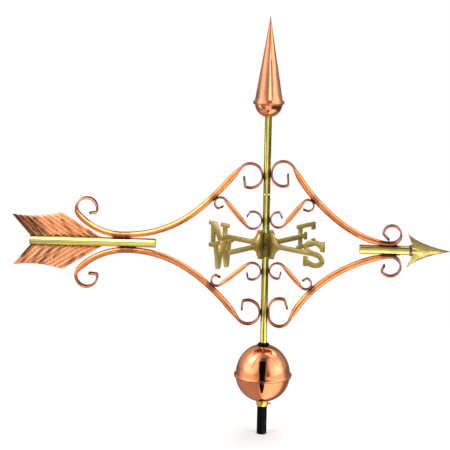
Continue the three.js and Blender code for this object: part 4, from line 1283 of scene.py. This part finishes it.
def makeFloor():
    floor = {"size": 6.0, "parts": 8, "colour": (236, 236, 234), "lift": 0.3, "fade": (0.6, 1.3)}
    material, tree = newMaterial("paleFloor")
    matt = put(tree, "BsdfDiffuse", {"Color": colour(*floor["colour"])})
    # rays that find the floor white: the camera's, and those mirrored or let through
    path = put(tree, "LightPath").outputs
    seen = calc(tree, "MAXIMUM", path["Is Camera Ray"], path["Is Glossy Ray"])
    seen = calc(tree, "MAXIMUM", seen, path["Is Transmission Ray"])
    lift = emission(tree, times(tree, seen, floor["lift"]))
    lifted = put(tree, "AddShader", {0: matt.outputs[0], 1: lift}).outputs[0]
    fade = between(tree, fromMiddle(tree)[0], *floor["fade"])
    put(tree, "OutputMaterial", {0: mixed(tree, fade, lifted, emission(tree, 1.0))})
    bm = bmesh.new()
    parts, half = floor["parts"], floor["size"] / 2
    bmesh.ops.create_grid(bm, x_segments=parts, y_segments=parts, size=half)
    mesh = meshOf("floor", bm)
    mesh.materials.append(material)
    placed("floor", mesh)


def makeCloth():
    # grey cloth laid out on the floor for the metal, brighter where a soft box lights it
    cloth = {
        "size": 14.0, "near": 0.36, "far": 0.1, "edge": (0.55, 1.0),
        "nearGlow": [(44, 0, 4, 64, 1.9), (-70, 0, 10, 90, 0.3)],
        "farGlow": [(0, 0, 8, 36, 1.1), (-75, 0, 10, 80, 0.26), (180, 0, 10, 50, 0.6)],
    }
    material, tree = newMaterial("greyCloth")
    away, towards = fromMiddle(tree)
    near = withGlows(tree, cloth["near"], towards, cloth["nearGlow"])
    far = withGlows(tree, cloth["far"], towards, cloth["farGlow"])
    tone = choose(tree, between(tree, away, *cloth["edge"]), near, far)
    put(tree, "OutputMaterial", {0: emission(tree, tone)})
    half, up = cloth["size"] / 2, floorGap["cloth"]
    corners = cardAcross((half, up, half), (-half, up, half))
    stageCard("greyCloth", cardMesh("greyCloth", corners), material)


def makeBlackCards():
    # a strip that falls away from above the globe to the front, and a wedge on the floor with a
    # stand at its far end; what looks down on the strip from above sees past it
    strip = [(0.12, 0.283, 0.042), (1.65, 0.01, 0.33)]
    wedge = {"near": (0.09, 0.006), "far": (0.46, 0.092), "height": 0.17}
    material, tree = newMaterial("blackCard")
    back = put(tree, "NewGeometry").outputs["Backfacing"]
    clear = put(tree, "BsdfTransparent").outputs[0]
    put(tree, "OutputMaterial", {0: mixed(tree, back, emission(tree, 0.0), clear)})
    (nearAway, nearHalf), (farAway, farHalf) = wedge["near"], wedge["far"]
    low, high = floorGap["wedge"], wedge["height"]
    for name, corners in (
        ("blackStrip", cardAcross(*strip)),
        ("blackWedge", cardAcross((farAway, low, farHalf), (nearAway, low, nearHalf))),
        ("blackStand", cardAcross((farAway, low, -farHalf), (farAway, high, -farHalf))),
    ):
        stageCard(name, cardMesh(name, corners), material)


def makeScreen():
    # a low pale screen stands round the globe
    screen = {"radius": 0.5, "height": 0.15, "sides": 48, "tone": 0.3,
              "glow": [(-62, 0, 6, 62, 0.9), (58, 0, 6, 58, 1.2)]}
    material, tree = newMaterial("paleScreen")
    tone = withGlows(tree, screen["tone"], fromMiddle(tree)[1], screen["glow"])
    put(tree, "OutputMaterial", {0: emission(tree, tone)})
    bm = bmesh.new()
    bmesh.ops.create_circle(bm, segments=screen["sides"], radius=screen["radius"])
    raised = bmesh.ops.extrude_edge_only(bm, edges=bm.edges)["geom"]
    top = [part for part in raised if isinstance(part, bmesh.types.BMVert)]
    bmesh.ops.translate(bm, verts=top, vec=(0, 0, screen["height"]))
    stageCard("paleScreen", meshOf("paleScreen", bm), material)


whiteCards = {
    "tailCard": {"corners": [(-0.64, -0.2, 0.488), (-0.17, -0.2, 0.488), (-0.64, -0.02, 0.65),
                             (-0.17, -0.02, 0.65)], "glow": 5.5, "edge": 0.2, "oneSided": False},
    # it glows on its upper side, so the globe below it sees past it
    "coneCard": {"corners": [(-0.004, -0.35, 0.72), (0.22, -0.35, 0.72), (-0.01, -0.95, 1.06),
                             (0.6, -0.95, 1.06)], "glow": 3.6, "edge": 0.35, "oneSided": True},
}


def makeWhiteCard(name, card):
    # a soft-edged glowing card near the work
    material, tree = newMaterial(name)
    split = put(tree, "SeparateXYZ", {0: put(tree, "TexCoord").outputs["UV"]}).outputs
    mask = 1.0
    for side in (split["X"], split["Y"]):
        inward = calc(tree, "ABSOLUTE", calc(tree, "SUBTRACT", side, 0.5))
        mask = times(tree, between(tree, inward, 0.5, card["edge"]), mask)
    if card["oneSided"]:
        mask = times(tree, put(tree, "NewGeometry").outputs["Backfacing"], mask)
    clear = put(tree, "BsdfTransparent").outputs[0]
    put(tree, "OutputMaterial", {0: mixed(tree, mask, clear, emission(tree, card["glow"]))})
    stageCard(name, cardMesh(name, card["corners"]), material)


lampAim = Vector((0, 0, 0.4))
# place, size, power
lamps = {
    "leftLamp": ((-1.7, -1.3, 1.7), 1.2, 16),
    "rightLamp": ((1.8, -1.2, 1.5), 1.2, 14),
    "topLamp": ((0.2, 0.6, 2.4), 1.6, 16),
}


def makeLamp(name, place, size, power):
    data = bpy.data.lights.new(name, "AREA")
    data.shape, data.size, data.energy = "DISK", size, power
    lamp = placed(name, data)
    lamp.location = place
    lamp.rotation_euler = (lampAim - Vector(place)).to_track_quat("-Z", "Y").to_euler()
    lamp.visible_glossy = False  # metal mirrors the soft boxes of the world instead


def makeWorld():
    sky = {
        "surround": 0.55,
        "room": 0.15,  # what the metal mirrors where no soft box stands
        # soft boxes that the metal mirrors: bearing, height, core, rim, strength
        "boxes": [(-65, 34, 6, 47, 1.7), (68, 27, 6, 46, 1.6), (-6, 20, 14, 34, 0.45),
                  (-60, -4, 6, 45, 0.8), (66, -2, 6, 45, 0.85), (-115, 30, 8, 50, 0.65),
                  (108, 24, 8, 46, 0.55), (126, 62, 10, 27, 2.2), (-84, 56, 8, 34, 0.8),
                  (0, 90, 8, 26, 0.4), (180, 12, 10, 60, 0.16)],
        # dark gaps between the boxes: bearing, half width, height from and to
        "gaps": [(-50, 2.2, 12, 66), (79, 2.2, 16, 58)],
    }
    world = bpy.data.worlds.new("studio")
    bpy.context.scene.world = world
    tree = emptyTree(world)
    facing = put(tree, "TexCoord").outputs["Generated"]
    glow = withGlows(tree, sky["room"], facing, sky["boxes"])
    for gap in sky["gaps"]:
        glow = times(tree, darkGap(tree, facing, *gap), glow)
    path = put(tree, "LightPath").outputs
    mirrored = calc(tree, "MAXIMUM", path["Is Glossy Ray"], path["Is Transmission Ray"])
    level = choose(tree, mirrored, sky["surround"], glow)
    level = choose(tree, path["Is Camera Ray"], level, 1.0)
    light = put(tree, "Background", {"Color": (1, 1, 1, 1), "Strength": level})
    put(tree, "OutputWorld", {0: light.outputs[0]})


def makeCamera():
    camera = {"place": (0.1076, -3.4492, 1.1457), "turn": (78.592, -0.98, 3.398),
              "lens": 135.808, "sensor": 36, "farthest": 40}
    data = bpy.data.cameras.new("camera")
    data.lens, data.sensor_width = camera["lens"], camera["sensor"]
    data.clip_end = camera["farthest"]
    view = placed("camera", data)
    view.location = camera["place"]
    view.rotation_euler = [math.radians(a) for a in camera["turn"]]
    bpy.context.scene.camera = view


makeFloor()
makeCloth()
makeBlackCards()
makeScreen()
for cardName, cardValues in whiteCards.items():
    makeWhiteCard(cardName, cardValues)
for lampName, lampValues in lamps.items():
    makeLamp(lampName, *lampValues)
makeWorld()
makeCamera()
bpy.context.scene.view_settings.view_transform = "Standard"
print("studio made")
